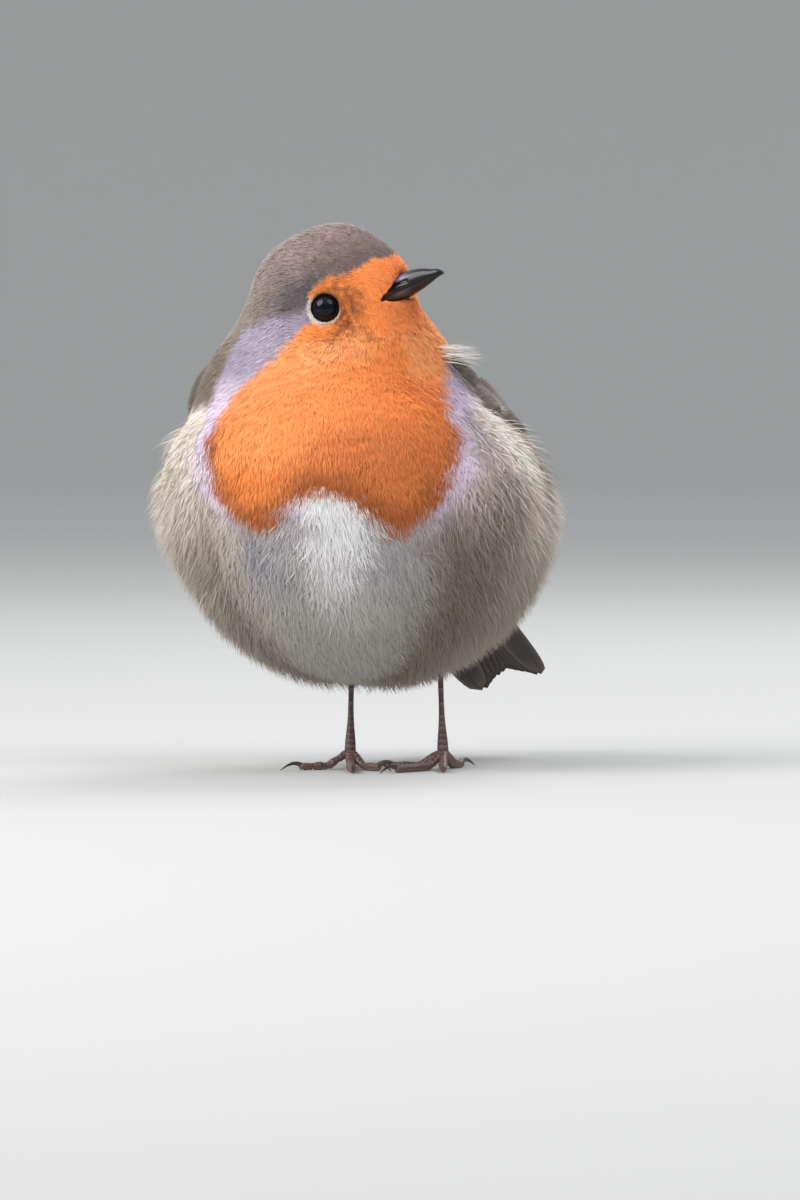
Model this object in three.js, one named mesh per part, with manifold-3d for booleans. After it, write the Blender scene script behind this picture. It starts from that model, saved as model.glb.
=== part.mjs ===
// A European robin at life size, standing still with its feathers fluffed up.
// Millimetres, +Z up. The body faces -Y, the head is turned to the bird's left (+X), and the toes
// lie on z = 0. The solids are the outer shape of the bird, out to the tips of the feathers.
import * as THREE from "three";
import { mergeVertices } from "three/addons/utils/BufferGeometryUtils.js";
import Module from "manifold-3d";

const wasm = await Module();
wasm.setup();

const GAP = 0.3; // clearance between neighbouring pieces
const degrees = THREE.MathUtils.degToRad;
const point = (x, y, z) => new THREE.Vector3(x, y, z);
const SIDES = { left: 1, right: -1 }; // the bird's own left is +X

// ---------------------------------------------------------------- frames of the head and the tail

const HEAD = { centre: point(-4.6, -2.5, 87.2), yaw: 65, pitch: 23, roll: 12 };
const TAIL = { root: point(4, 17, 45.5), yaw: 19.5, pitch: 33.5, roll: 18, length: 58 };

// Both frames keep the body's convention: +X to the bird's left, -Y forwards, +Z up.
function frame(origin, turnZ, turnX, turnY) {
  const turn = new THREE.Matrix4().makeRotationZ(degrees(turnZ));
  turn.multiply(new THREE.Matrix4().makeRotationX(degrees(turnX)));
  turn.multiply(new THREE.Matrix4().makeRotationY(degrees(turnY)));
  return new THREE.Matrix4().makeTranslation(origin).multiply(turn);
}
const headFrame = frame(HEAD.centre, HEAD.yaw, -HEAD.pitch, -HEAD.roll);
const tailFrame = frame(TAIL.root, -TAIL.yaw, -TAIL.pitch, -TAIL.roll);
const bodyFrame = new THREE.Matrix4();

// ---------------------------------------------------------------- the outline of the plumage

// Each lump of plumage is an ellipsoid in its own frame. They run into each other with a soft blend.
const lumps = [
  { in: bodyFrame, at: [1.3, 2, 46.3], radii: [34.7, 32.5, 29.9], blend: 0 }, // belly
  { in: bodyFrame, at: [25, -3, 50], radii: [12, 20, 14.5], blend: 6 }, // left flank
  { in: bodyFrame, at: [-24.8, -2, 51.5], radii: [11.8, 20, 15], blend: 6 }, // right flank
  { in: bodyFrame, at: [-2, -5, 57], radii: [28.5, 28, 21], blend: 9 }, // breast
  { in: bodyFrame, at: [-2, 8, 66], radii: [21, 21, 17], blend: 8 }, // mantle
  { in: bodyFrame, at: [13.6, 4, 69], radii: [9.5, 16, 10], blend: 6 }, // left shoulder
  { in: bodyFrame, at: [-20.4, 4, 68.5], radii: [10.5, 16, 10], blend: 6 }, // right shoulder
  { in: tailFrame, at: [0, 10, 1], radii: [14.5, 23, 10.5], blend: 10 }, // rump and tail coverts
  { in: bodyFrame, at: [-5.2, -1, 76], radii: [19.8, 18, 16], blend: 10 }, // neck
  { in: headFrame, at: [0, 1.6, 0.6], radii: [13, 13.3, 15.1], blend: 6 }, // crown and nape
  { in: headFrame, at: [0, -6.1, 1.9], radii: [8.6, 11, 12.8], blend: 5 }, // face
  { in: headFrame, at: [0, -12.6, -0.2], radii: [4.4, 5.6, 5.6], blend: 5 }, // lores, round the bill
  { in: headFrame, at: [0, -5, -10.5], radii: [10, 9, 9.5], blend: 8 }, // throat
].map((lump) => ({ ...lump, into: lump.in.clone().invert() }));

function ellipsoidDistance(p, centre, radii) {
  const [x, y, z] = [p.x - centre[0], p.y - centre[1], p.z - centre[2]];
  const [a, b, c] = radii;
  const inside = Math.hypot(x / a, y / b, z / c);
  const slope = Math.hypot(x / (a * a), y / (b * b), z / (c * c));
  return slope < 1e-9 ? -Math.min(a, b, c) : (inside * (inside - 1)) / slope;
}

function softest(a, b, blend) {
  const near = blend ? Math.max(blend - Math.abs(a - b), 0) / blend : 0;
  return Math.min(a, b) - (near * near * blend) / 4;
}

// The distance from a point to the tips of the feathers, negative inside the bird.
function plumage(p) {
  let distance = Infinity;
  for (const { at, radii, blend, into } of lumps) {
    const own = ellipsoidDistance(p.clone().applyMatrix4(into), at, radii);
    distance = distance === Infinity ? own : softest(distance, own, blend);
  }
  return distance;
}

const SLOPE_STEP = 0.2;
function outwards(p) {
  const slope = (axis) => {
    const step = point(0, 0, 0).setComponent(axis, SLOPE_STEP);
    return plumage(p.clone().add(step)) - plumage(p.clone().sub(step));
  };
  return point(slope(0), slope(1), slope(2)).normalize();
}

// ---------------------------------------------------------------- closed meshes and booleans

function solid(geometry) {
  const bare = geometry.clone();
  bare.deleteAttribute("normal");
  bare.deleteAttribute("uv");
  const merged = mergeVertices(bare, 1e-4);
  const vertProperties = merged.attributes.position.array;
  const made = new wasm.Manifold(new wasm.Mesh({ numProp: 3, vertProperties, triVerts: merged.index.array }));
  if (made.volume() > 0) return made;
  const turned = merged.index.array.slice().reverse(); // a mirrored piece comes out with its faces inwards
  return new wasm.Manifold(new wasm.Mesh({ numProp: 3, vertProperties, triVerts: turned }));
}

function geometryOf(manifold) {
  const mesh = manifold.getMesh();
  const geometry = new THREE.BufferGeometry();
  geometry.setAttribute("position", new THREE.BufferAttribute(mesh.vertProperties, 3));
  geometry.setIndex(new THREE.BufferAttribute(mesh.triVerts, 1));
  geometry.computeVertexNormals();
  return geometry;
}

// A ball whose every vertex is pushed out along its ray until it meets the outline of the plumage.
function plumageAround(centre, around, down) {
  const ball = new THREE.SphereGeometry(1, around, down).rotateX(degrees(90));
  const places = ball.attributes.position;
  const furthest = 110; // no point of the outline is this far from a centre
  for (let i = 0; i < places.count; i++) {
    const ray = new THREE.Vector3().fromBufferAttribute(places, i).normalize();
    let reached = 0;
    const at = (distance) => centre.clone().addScaledVector(ray, distance);
    for (let step = 1; step > 0.004; step /= 4) {
      while (reached < furthest && plumage(at(reached + step)) < 0) reached += step;
    }
    places.setXYZ(i, ...at(reached).toArray());
  }
  return solid(ball);
}

// A bar with round or shaped sections: place(t, u, v) puts the point of station t, from 0 to 1,
// at (u, v) in the unit disc of its section. u, v and the way t runs are right-handed.
function bar(place, around, along) {
  const rod = new THREE.CylinderGeometry(1, 1, 1, around, along).rotateX(degrees(90));
  const places = rod.attributes.position;
  for (let i = 0; i < places.count; i++) {
    const [u, v, t] = [places.getX(i), places.getY(i), places.getZ(i) + 0.5];
    places.setXYZ(i, ...place(t, u, v).toArray());
  }
  return solid(rod);
}

// The side of a plane that its normal points away from, as a block large enough for the whole bird.
const BLOCK = 400;
function below(through, normal) {
  const block = new THREE.BoxGeometry(BLOCK, BLOCK, BLOCK).translate(0, 0, -BLOCK / 2);
  block.applyQuaternion(new THREE.Quaternion().setFromUnitVectors(point(0, 0, 1), normal));
  return solid(block.translate(...through.toArray()));
}

// A smooth value along a piece, through a few [t, value] stations.
function smooth(stations) {
  const points = stations.map(([t, value]) => point(t, value, 0));
  const curve = new THREE.CatmullRomCurve3(points, false, "centripetal");
  const samples = curve.getPoints(60);
  return (t) => {
    const next = Math.max(1, samples.findIndex((s) => s.x >= Math.min(t, samples.at(-1).x)));
    const [a, b] = [samples[next - 1], samples[next]];
    return THREE.MathUtils.lerp(a.y, b.y, (t - a.x) / Math.max(b.x - a.x, 1e-9));
  };
}

// ---------------------------------------------------------------- wings

const WING = {
  wrist: [26, -6, 72],
  bulge: { left: [40, 26, 62], right: [38, 30, 61] },
  tip: { left: [17.5, 45, 38], right: [-4.5, 48, 38.5] },
  halfChord: smooth([[0, 4.5], [0.12, 8.5], [0.35, 11], [0.6, 9], [0.8, 5.8], [0.93, 3.2], [1, 1.4]]),
  halfThickness: smooth([[0, 1.6], [0.3, 2.2], [0.7, 1.4], [1, 0.6]]),
  sunk: 0.9, // how far the middle of its thickness lies under the outline of the plumage
  clings: [0.75, 1], // along the wing, where it stops being drawn in to the curve of the body
};

function wing(name, grow = 0) {
  const mirrored = ([x, y, z]) => point(SIDES[name] * x, y, z);
  const line = new THREE.QuadraticBezierCurve3(
    mirrored(WING.wrist), mirrored(WING.bulge[name]), mirrored(WING.tip[name]));
  return bar((t, u, v) => {
    const centre = line.getPoint(t);
    const tangent = line.getTangent(t);
    const normal = outwards(centre);
    const across = tangent.clone().cross(normal).normalize();
    const flat = centre.clone().addScaledVector(across, u * (WING.halfChord(t) + grow));
    flat.addScaledVector(tangent, t < 0.5 ? -grow : grow);
    const facing = outwards(flat);
    const outside = plumage(flat) + WING.sunk;
    const drawnIn = 1 - THREE.MathUtils.smoothstep(t, ...WING.clings);
    flat.addScaledVector(facing, outside > 0 ? -outside * drawnIn : -outside);
    return flat.addScaledVector(facing, v * (WING.halfThickness(t) + grow));
  }, 14, 14);
}

// ---------------------------------------------------------------- tail

const TAIL_SHAPE = {
  start: 15, // where it leaves the coverts, from the root
  halfWidth: smooth([[0, 5], [0.35, 6.8], [0.7, 8.3], [1, 9]]),
  halfThickness: smooth([[0, 1.6], [0.5, 0.9], [1, 0.5]]),
  crown: 1.6, // the middle feathers lie this much higher than the outer ones
  notch: 3.2, // the outer feathers are this much longer than the middle ones
  corner: 2.6, // how far the round corner of the tip falls back
  flatness: 0.35, // below 1, the section is a flat bar with rounded edges
};

function tail(grow = 0) {
  return bar((t, u, v) => {
    const tipLine = TAIL.length - TAIL_SHAPE.notch * (1 - Math.abs(u)) - TAIL_SHAPE.corner * u ** 6;
    const along = THREE.MathUtils.lerp(TAIL_SHAPE.start - grow, tipLine + grow, t);
    const lateral = u * (TAIL_SHAPE.halfWidth(t) + grow);
    const height = Math.sign(v) * Math.abs(v) ** TAIL_SHAPE.flatness * (TAIL_SHAPE.halfThickness(t) + grow);
    const crown = TAIL_SHAPE.crown * (1 - u * u);
    return point(-lateral, along, crown + height).applyMatrix4(tailFrame);
  }, 16, 6);
}

// ---------------------------------------------------------------- bill

// Heights in the head's frame, from the gape at t = 0 to the tip at t = 1.
const BILL = {
  gape: -10.5,
  length: 16.4,
  lowerShare: 0.965,
  culmen: smooth([[0, 0.4], [0.35, 0], [0.65, -0.7], [0.88, -2], [1, -3.3]]),
  edge: smooth([[0, -4.2], [0.3, -3.3], [0.7, -2.9], [1, -3.5]]),
  gonys: smooth([[0, -6], [0.35, -5.4], [0.7, -4.5], [1, -3.6]]),
  halfWidth: smooth([[0, 3.5], [0.3, 2.5], [0.6, 1.7], [0.85, 0.95], [1, 0.25]]),
  thinnest: 0.25,
  roundness: 0.8, // below 1, the section is fuller than a half ellipse
};

function billHalf(upper, grow = 0) {
  const reach = upper ? 1 : BILL.lowerShare;
  return bar((t, u, v) => {
    const share = t * reach;
    const y = BILL.gape - share * BILL.length + (t < 0.5 ? grow : -grow);
    const edge = BILL.edge(share) + (upper ? GAP / 2 : -GAP / 2) + (upper ? -grow : grow);
    const outer = upper
      ? Math.max(BILL.culmen(share), edge + BILL.thinnest) + grow
      : Math.min(BILL.gonys(share), edge - BILL.thinnest) - grow;
    const z = edge + (outer - edge) * Math.max(0, upper ? v : -v) ** BILL.roundness;
    return point(-u * (BILL.halfWidth(share) + grow), y, z).applyMatrix4(headFrame);
  }, 10, 8);
}

// ---------------------------------------------------------------- eyes

const EYE = {
  centre: [7.9, -4.6, 0.2],
  radius: 3.6,
  opening: 2.75,
  dish: { flare: 1.3, depth: 5 },
  fromForward: 62, // degrees from the bill, sideways, of the way the eye looks
};

function eyeAxis(side) {
  const angle = degrees(EYE.fromForward);
  return point(side * Math.sin(angle), -Math.cos(angle), 0.03).normalize();
}

function eye(side, grow = 0) {
  const [x, y, z] = EYE.centre;
  const ball = new THREE.SphereGeometry(EYE.radius + grow, 14, 10);
  return solid(ball.translate(side * x, y, z).applyMatrix4(headFrame));
}

// The round opening in the plumage, which widens outwards like a shallow dish.
function eyeOpening(side) {
  const [x, y, z] = EYE.centre;
  const start = Math.sqrt(EYE.radius ** 2 - EYE.opening ** 2);
  const { flare, depth } = EYE.dish;
  const dish = new THREE.CylinderGeometry(EYE.opening + flare, EYE.opening + GAP / 2, depth, 16);
  dish.translate(0, start + depth / 2, 0);
  dish.applyQuaternion(new THREE.Quaternion().setFromUnitVectors(point(0, 1, 0), eyeAxis(side)));
  return solid(dish.translate(side * x, y, z).applyMatrix4(headFrame));
}

// ---------------------------------------------------------------- legs and feet

const LEG = {
  ankle: 28, // height of the top of the bare shank, inside the belly feathers
  joint: 3.6, // height of the joint where the toes meet
  halfWidth: smooth([[0, 1.15], [0.1, 1.0], [0.2, 0.72], [0.7, 0.68], [0.9, 0.85], [1, 1.05]]),
  halfDepth: smooth([[0, 1.2], [0.1, 1.25], [0.25, 0.95], [0.7, 0.95], [0.9, 1.2], [1, 1.5]]),
};

// Where each foot stands, and which way its middle toe points, in degrees from -Y towards +X.
const FEET = {
  right: { at: [-1.6, 2.5], lean: [0.2, 1.5], toes: { middle: 12, inner: 44, outer: -52, hind: 188 } },
  left: { at: [16.2, 3.5], lean: [-1.2, 1.5], toes: { middle: -28, inner: -86, outer: 10, hind: 165 } },
};
const TOES = {
  middle: { length: 14.5, claw: 5, joints: 3, radius: 0.85 },
  inner: { length: 9.8, claw: 4.4, joints: 2, radius: 0.78 },
  outer: { length: 10.6, claw: 4.4, joints: 4, radius: 0.76 },
  hind: { length: 8.2, claw: 6.4, joints: 1, radius: 0.92 },
};
const TOE_START = 1.5; // how far from the middle of the joint a toe begins
const PAD_HEIGHT = 0.75; // of the middle of a toe where it lies on the floor

function shank(side, grow = 0) {
  const { at, lean } = FEET[side];
  return bar((t, u, v) => {
    const z = THREE.MathUtils.lerp(LEG.joint - 1.1 - grow, LEG.ankle + grow, t);
    const x = at[0] + lean[0] * t + u * (LEG.halfWidth(t) + grow);
    const y = at[1] + lean[1] * t + v * (LEG.halfDepth(t) + grow);
    return point(x, y, z);
  }, 8, 8);
}

function heading(angle) {
  return point(Math.sin(degrees(angle)), -Math.cos(degrees(angle)), 0);
}

// A toe leaves the joint, comes down to the floor and lies along it on flat pads.
function toe(side, name, grow = 0) {
  const { length, joints, radius } = TOES[name];
  const ahead = heading(FEET[side].toes[name]);
  const across = point(-ahead.y, ahead.x, 0);
  return bar((t, u, v) => {
    const s = THREE.MathUtils.lerp(TOE_START - grow, length + grow, t);
    const drop = THREE.MathUtils.smoothstep(s, 0, 5.5);
    const knuckle = -0.12 * Math.cos(2 * Math.PI * joints * t) * Math.sin(Math.PI * t);
    const r = radius * (1.12 - 0.35 * t) + knuckle + grow;
    const height = THREE.MathUtils.lerp(LEG.joint - 0.6, PAD_HEIGHT, drop);
    const p = point(FEET[side].at[0], FEET[side].at[1], height);
    p.addScaledVector(ahead, s).addScaledVector(across, u * r);
    p.z = Math.max(p.z + v * r * 1.05, grow ? -1 : 0);
    return p;
  }, 8, 10);
}

function claw(side, name, grow = 0) {
  const { length, claw: reach, radius } = TOES[name];
  const ahead = heading(FEET[side].toes[name]);
  const across = point(-ahead.y, ahead.x, 0);
  return bar((t, u, v) => {
    const s = length + GAP + reach * t + (t < 0.5 ? -grow : grow);
    const r = radius * 0.62 * (1 - t) ** 0.8 + 0.12 + grow;
    const height = 0.85 + 1.0 * Math.sin(Math.PI * t) * (1 - 0.35 * t) - 0.7 * t;
    const p = point(FEET[side].at[0], FEET[side].at[1], height);
    return p.addScaledVector(ahead, s).addScaledVector(across, u * r * 0.8).add(point(0, 0, v * r));
  }, 6, 5);
}

// ---------------------------------------------------------------- the bird, piece by piece

const NECK_TOP = { through: point(-4, -2, 78.5), normal: point(-0.2, -0.02, 1).normalize() };
const NECK_FOOT = { through: point(0, 0, 70), normal: point(-0.05, 0, 1).normalize() };

const LOOKS = {
  orange: { color: 0xd9762c, roughness: 0.9, metalness: 0 },
  grey: { color: 0xb5aca6, roughness: 0.9, metalness: 0 },
  brown: { color: 0x6b5d4c, roughness: 0.85, metalness: 0 },
  dark: { color: 0x4a4038, roughness: 0.75, metalness: 0 },
  eye: { color: 0x0b0a0a, roughness: 0.05, metalness: 0 },
  leg: { color: 0x5a443c, roughness: 0.6, metalness: 0 },
  horn: { color: 0x2b2624, roughness: 0.35, metalness: 0 },
};

const robin = new THREE.Group();
function add(name, manifold, look) {
  const mesh = new THREE.Mesh(geometryOf(manifold), new THREE.MeshStandardMaterial(LOOKS[look]));
  mesh.name = name;
  robin.add(mesh);
}
const without = (piece, others) => others.reduce((left, other) => left.subtract(other), piece);

const sides = Object.entries(SIDES);
const drop = point(0, 0, -GAP);
const underHead = below(NECK_TOP.through, NECK_TOP.normal);
const underHeadByGap = below(NECK_TOP.through.clone().add(drop), NECK_TOP.normal);
const underNeck = below(NECK_FOOT.through, NECK_FOOT.normal);
const underNeckByGap = below(NECK_FOOT.through.clone().add(drop), NECK_FOOT.normal);
const roomForWings = sides.map(([name]) => wing(name, GAP));

const headRoom = sides.flatMap(([, side]) => [eye(side, GAP), eyeOpening(side)]);
headRoom.push(billHalf(true, GAP), billHalf(false, GAP), underHead);
add("head", without(plumageAround(HEAD.centre, 32, 22), [...headRoom, ...roomForWings]), "orange");

const neckWhole = plumageAround(point(-2, 0, 74), 36, 24).intersect(underHeadByGap);
add("neck", without(neckWhole, [underNeck, ...roomForWings]), "grey");

const trunkRoom = [...roomForWings, tail(GAP), ...sides.map(([name]) => shank(name, GAP))];
add("trunk", without(plumageAround(point(0, 3, 50), 36, 26).intersect(underNeckByGap), trunkRoom), "grey");

add("tail", tail(), "dark");
add("bill_upper", billHalf(true), "horn");
add("bill_lower", billHalf(false), "horn");

for (const [name, side] of sides) {
  add(`wing_${name}`, wing(name), "brown");
  add(`eye_${name}`, eye(side), "eye");
}

// Each toe is cut back from the shank and from the toes before it, so that they meet at the joint with a gap.
const feetRoom = sides.map(([name]) => shank(name, GAP));
for (const [side] of sides) {
  add(`shank_${side}`, shank(side), "leg");
  for (const name of Object.keys(TOES)) {
    add(`toe_${side}_${name}`, without(toe(side, name), feetRoom), "leg");
    add(`claw_${side}_${name}`, claw(side, name), "horn");
    feetRoom.push(toe(side, name, GAP));
  }
}

// The origin is on the floor, under the middle of the whole bird.
const reach = new THREE.Box3().setFromObject(robin);
robin.position.set(-(reach.min.x + reach.max.x) / 2, -(reach.min.y + reach.max.y) / 2, 0);

export default robin;
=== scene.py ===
# %% [markdown]
# # A European robin, fluffed up and standing still
#
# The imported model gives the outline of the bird, out to the tips of its feathers. This script gives
# that outline its looks: one skin a little inside it, a coat of feathers made as solid mesh, wings and
# a tail of separate vanes, a horn bill, wet eyes and scaled legs. Read it from top to bottom, as a lesson.

# %% Load the frame
import bmesh
import bpy
import numpy as np
from math import cos, pi, radians, sin
from mathutils import Matrix, Vector
from mathutils.kdtree import KDTree


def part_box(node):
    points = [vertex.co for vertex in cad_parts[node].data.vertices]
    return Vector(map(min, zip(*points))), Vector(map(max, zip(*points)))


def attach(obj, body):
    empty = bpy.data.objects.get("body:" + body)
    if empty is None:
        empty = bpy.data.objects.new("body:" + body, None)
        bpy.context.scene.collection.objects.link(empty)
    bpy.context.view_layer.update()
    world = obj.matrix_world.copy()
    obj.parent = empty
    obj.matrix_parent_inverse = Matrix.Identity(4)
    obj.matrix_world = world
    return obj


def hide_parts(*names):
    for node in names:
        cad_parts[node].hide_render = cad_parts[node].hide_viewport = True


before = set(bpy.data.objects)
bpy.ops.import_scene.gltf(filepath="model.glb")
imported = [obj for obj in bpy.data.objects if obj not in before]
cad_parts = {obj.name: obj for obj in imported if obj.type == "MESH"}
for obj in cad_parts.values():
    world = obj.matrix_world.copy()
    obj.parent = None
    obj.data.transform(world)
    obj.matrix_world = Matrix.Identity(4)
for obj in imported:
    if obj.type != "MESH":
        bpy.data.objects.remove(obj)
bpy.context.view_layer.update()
MM = 0.001  # the shapes below are worked out in millimetres, and the scene is in metres

# %% [markdown]
# ## Where things are
#
# The head and the tail are turned against the body, so each has a frame of its own. In all three frames
# +X points to the bird's own left, -Y forwards and +Z up. A shape that is worked out in the head's frame
# stays right however the head is held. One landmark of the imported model, the middle of an eyeball, ties
# these drawing frames to the row's frame.

# %% The frames of the head and the tail
def turn(axis, degrees):
    return np.array(Matrix.Rotation(radians(degrees), 3, axis))


def body_part(origin, turn_z, turn_x, turn_y):
    """A frame as (origin, axes): the columns of axes are its X, Y and Z."""
    return np.array(origin, float), turn("Z", turn_z) @ turn("X", turn_x) @ turn("Y", turn_y)


BODY = (np.zeros(3), np.eye(3))
HEAD = body_part((-4.6, -2.5, 87.2), 65, -23, -12)
TAIL = body_part((4, 17, 45.5), -19.5, -33.5, -18)
TAIL_LENGTH = 58


def into(part, points):
    return (np.asarray(points, float) - part[0]) @ part[1]


def out_of(part, points):
    return np.asarray(points, float) @ part[1].T + part[0]


EYE = {"centre": (7.9, -4.6, 0.2), "radius": 3.6, "opening": 2.75, "from_forward": 62}
SIDES = {"left": 1, "right": -1}


def eye_centre(side):
    x, y, z = EYE["centre"]
    return out_of(HEAD, [SIDES[side] * x, y, z])


low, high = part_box("eye_right")
SHIFT = np.array((low + high) / 2) / MM - eye_centre("right")
print("drawing frame to row frame, mm:", SHIFT.round(3))

# %% [markdown]
# ## The outline of the plumage
#
# A bird's feathers round off every hollow of its body, so its outline is well described by a few
# ellipsoids that melt into each other. The function below gives the distance of any point to that
# outline, negative inside, which is all that the skin and the coat need.

# %% The outline as a distance
LUMPS = [  # part, middle, radii, blend
    (BODY, (1.3, 2, 46.3), (34.7, 32.5, 29.9), 0),  # belly
    (BODY, (25, -3, 50), (12, 20, 14.5), 6),  # left flank
    (BODY, (-24.8, -2, 51.5), (11.8, 20, 15), 6),  # right flank
    (BODY, (-2, -5, 57), (28.5, 28, 21), 9),  # breast
    (BODY, (-2, 8, 66), (21, 21, 17), 8),  # mantle
    (BODY, (13.6, 4, 69), (9.5, 16, 10), 6),  # left shoulder
    (BODY, (-20.4, 4, 68.5), (10.5, 16, 10), 6),  # right shoulder
    (TAIL, (0, 10, 1), (14.5, 23, 10.5), 10),  # rump and tail coverts
    (BODY, (-5.2, -1, 76), (19.8, 18, 16), 10),  # neck
    (HEAD, (0, 1.6, 0.6), (13, 13.3, 15.1), 6),  # crown and nape
    (HEAD, (0, -6.1, 1.9), (8.6, 11, 12.8), 5),  # face
    (HEAD, (0, -12.6, -0.2), (4.4, 5.6, 5.6), 5),  # lores
    (HEAD, (0, -5, -10.5), (10, 9, 9.5), 8),  # throat
]


def ellipsoid_distance(points, centre, radii):
    near = points - np.array(centre, float)
    r = np.array(radii, float)
    inside = np.linalg.norm(near / r, axis=1)
    slope = np.linalg.norm(near / r**2, axis=1)
    return np.where(slope < 1e-9, -r.min(), inside * (inside - 1) / np.maximum(slope, 1e-9))


def plumage(points):
    """Distance in mm to the tips of the feathers, negative inside."""
    distance = None
    for part, centre, radii, blend in LUMPS:
        own = ellipsoid_distance(into(part, points), centre, radii)
        if distance is None:
            distance = own
            continue
        near = np.maximum(blend - np.abs(distance - own), 0) / blend
        distance = np.minimum(distance, own) - near**2 * blend / 4
    return distance


# %% Slopes, ramps and smooth tables
def slope_of(field, points, step=0.15):
    """The direction in which a field grows fastest, as unit vectors."""
    grown = [field(points + step * e) - field(points - step * e) for e in np.eye(3)]
    return unit(np.stack(grown, 1))


def unit(vectors):
    return vectors / np.maximum(np.linalg.norm(vectors, axis=-1, keepdims=True), 1e-12)


def ramp(low, high, value):
    """0 below low, 1 above high, smooth between. It runs the other way where low is above high."""
    t = np.clip((value - low) / (high - low), 0, 1)
    return t * t * (3 - 2 * t)


def curve(table, at):
    """A smooth line through a table of (place, value)."""
    x, y = np.array(table, float).T
    slope = np.gradient(y, x)
    i = np.clip(np.searchsorted(x, at) - 1, 0, len(x) - 2)
    span = x[i + 1] - x[i]
    t = np.clip((at - x[i]) / span, 0, 1)
    return ((2 * t**3 - 3 * t**2 + 1) * y[i] + (t**3 - 2 * t**2 + t) * span * slope[i]
            + (3 * t**2 - 2 * t**3) * y[i + 1] + (t**3 - t**2) * span * slope[i + 1])


# %% [markdown]
# ## The bill, as tables
#
# The bill is worked out along its length, measured forwards from the head's middle: half its width, and
# the heights of the ridge, of the edge where the halves meet, and of the keel. It flares at the root
# into the corners of the mouth. The plumage narrows onto it, and the feathers end at a line on the horn.

# %% Sections of the bill
BILL = {
    "half_width": [(11.5, 4.5), (13, 4.25), (14.2, 3.85), (15.6, 3.35), (17, 2.85), (18.7, 2.3), (20.8, 1.8),
                   (22.8, 1.35), (24.6, 0.95), (25.7, 0.62), (26.4, 0.25)],
    "ridge": [(11.5, -0.6), (14, 0.1), (16.5, 0.3), (18.7, 0.1), (20.8, -0.35), (22.8, -1.05), (24.6, -1.95),
              (25.7, -2.4), (26.4, -3.0)],
    "edge": [(11.5, -2.7), (16, -2.8), (20, -2.9), (23, -2.95), (25.2, -3.2), (26.4, -3.65)],
    "keel": [(11.5, -4.3), (14, -4.5), (16.5, -4.75), (18.7, -4.7), (20.8, -4.55), (22.8, -4.25),
             (24.8, -3.9), (26.4, -3.72)],
}
BILL_FROM, BILL_TO = 11.5, 26.4
# How far forwards the feathers reach on the horn, by height: far on the ridge and the keel, and right
# back to the corner of the mouth in between.
FEATHERED = ([-6, -5.2, -4.6, -3.8, -2.9, -2.0, -1.2, 0, 1],
             [19.8, 18.4, 16.4, 14.6, 13.6, 15.2, 16.9, 18.8, 19.8])
COLLAR = {"thickest": 0.55, "slope": 0.32, "clear": 0.1}  # the feathered layer over the root of the bill


# %% Distance to the bill, and the feathers' edge on it
def bill_distance(head):
    """Rough distance to the bill's surface, negative inside, for points in the head's frame."""
    forwards = -head[:, 1]
    at = np.clip(forwards, BILL_FROM, BILL_TO)
    width = curve(BILL["half_width"], at)
    edge = curve(BILL["edge"], at)
    share = np.clip(np.abs(head[:, 0]) / width, 0, 1)
    dome = np.sqrt(1 - share**2)
    top = edge + (curve(BILL["ridge"], at) - edge) * dome
    bottom = edge + (curve(BILL["keel"], at) - edge) * dome
    beside = np.abs(head[:, 0]) - width
    beyond = np.maximum(BILL_FROM - forwards, forwards - BILL_TO)
    return np.max([beside, head[:, 2] - top, bottom - head[:, 2], beyond], axis=0)


def rounded_max(a, b, blend):
    near = np.maximum(blend - np.abs(a - b), 0) / blend
    return np.maximum(a, b) + near**2 * blend / 4


def past_feathers(head):
    """How far a point lies ahead of the feathers' edge on the bill."""
    return -head[:, 1] - np.interp(head[:, 2], *FEATHERED)


def coat_outline(points):
    """The outline of the plumage: a thin layer of it covers the root of the bill, none lies ahead of it."""
    head = into(HEAD, points)
    bill = bill_distance(head) - COLLAR["clear"]
    past = past_feathers(head)
    layer = np.minimum(COLLAR["thickest"], COLLAR["slope"] * np.maximum(-past, 0))
    covered = -rounded_max(-plumage(points), -np.maximum(bill - layer, 0.5 * past), 1.0)
    return rounded_max(covered, -np.maximum(bill, -0.5 * past), 0.4)


# %% [markdown]
# ## How deep the coat is, and which way it lies
#
# The skin is the same outline, drawn in by the depth of the coat: under a millimetre at the bill, a few
# on the fluffed breast and flanks. Round each eye it dips in a shallow bowl, down to the eyeball.
# Feathers lie away from the bill over the head, then down the body and back to the tail. A field like
# this can be painted by hand. As a formula it stays smooth everywhere, and it is the same in every run.

# %% Depth of the coat
BILL_ROOT = np.array([0, -15.5, -2.4])  # in the head's frame, between the corners of the mouth
BOWL = {"floor": 2.1, "slope": 0.36, "curl": 0.08}


def coat_depth(points):
    head = into(HEAD, points)
    from_bill = np.linalg.norm(head - BILL_ROOT, axis=1)
    face = 0.45 + 0.75 * ramp(3, 18, from_bill)
    loose = ramp(-2, -24, head[:, 2]) * ramp(10, 30, from_bill)
    belly = ramp(62, 44, points[:, 2])
    return face + loose * (1.3 + 2.2 * belly)


# %% Round each eye
def eye_axis(side):
    angle = radians(EYE["from_forward"])
    axis = np.array([SIDES[side] * sin(angle), -cos(angle), 0.03])
    return HEAD[1] @ (axis / np.linalg.norm(axis))


def round_the_eye(points, side):
    """How far out along the eye's own axis, how far from that axis, and the offset across it."""
    offset = points - eye_centre(side)
    along = offset @ eye_axis(side)
    across = offset - along[:, None] * eye_axis(side)
    return along, np.linalg.norm(across, axis=1), across


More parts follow.
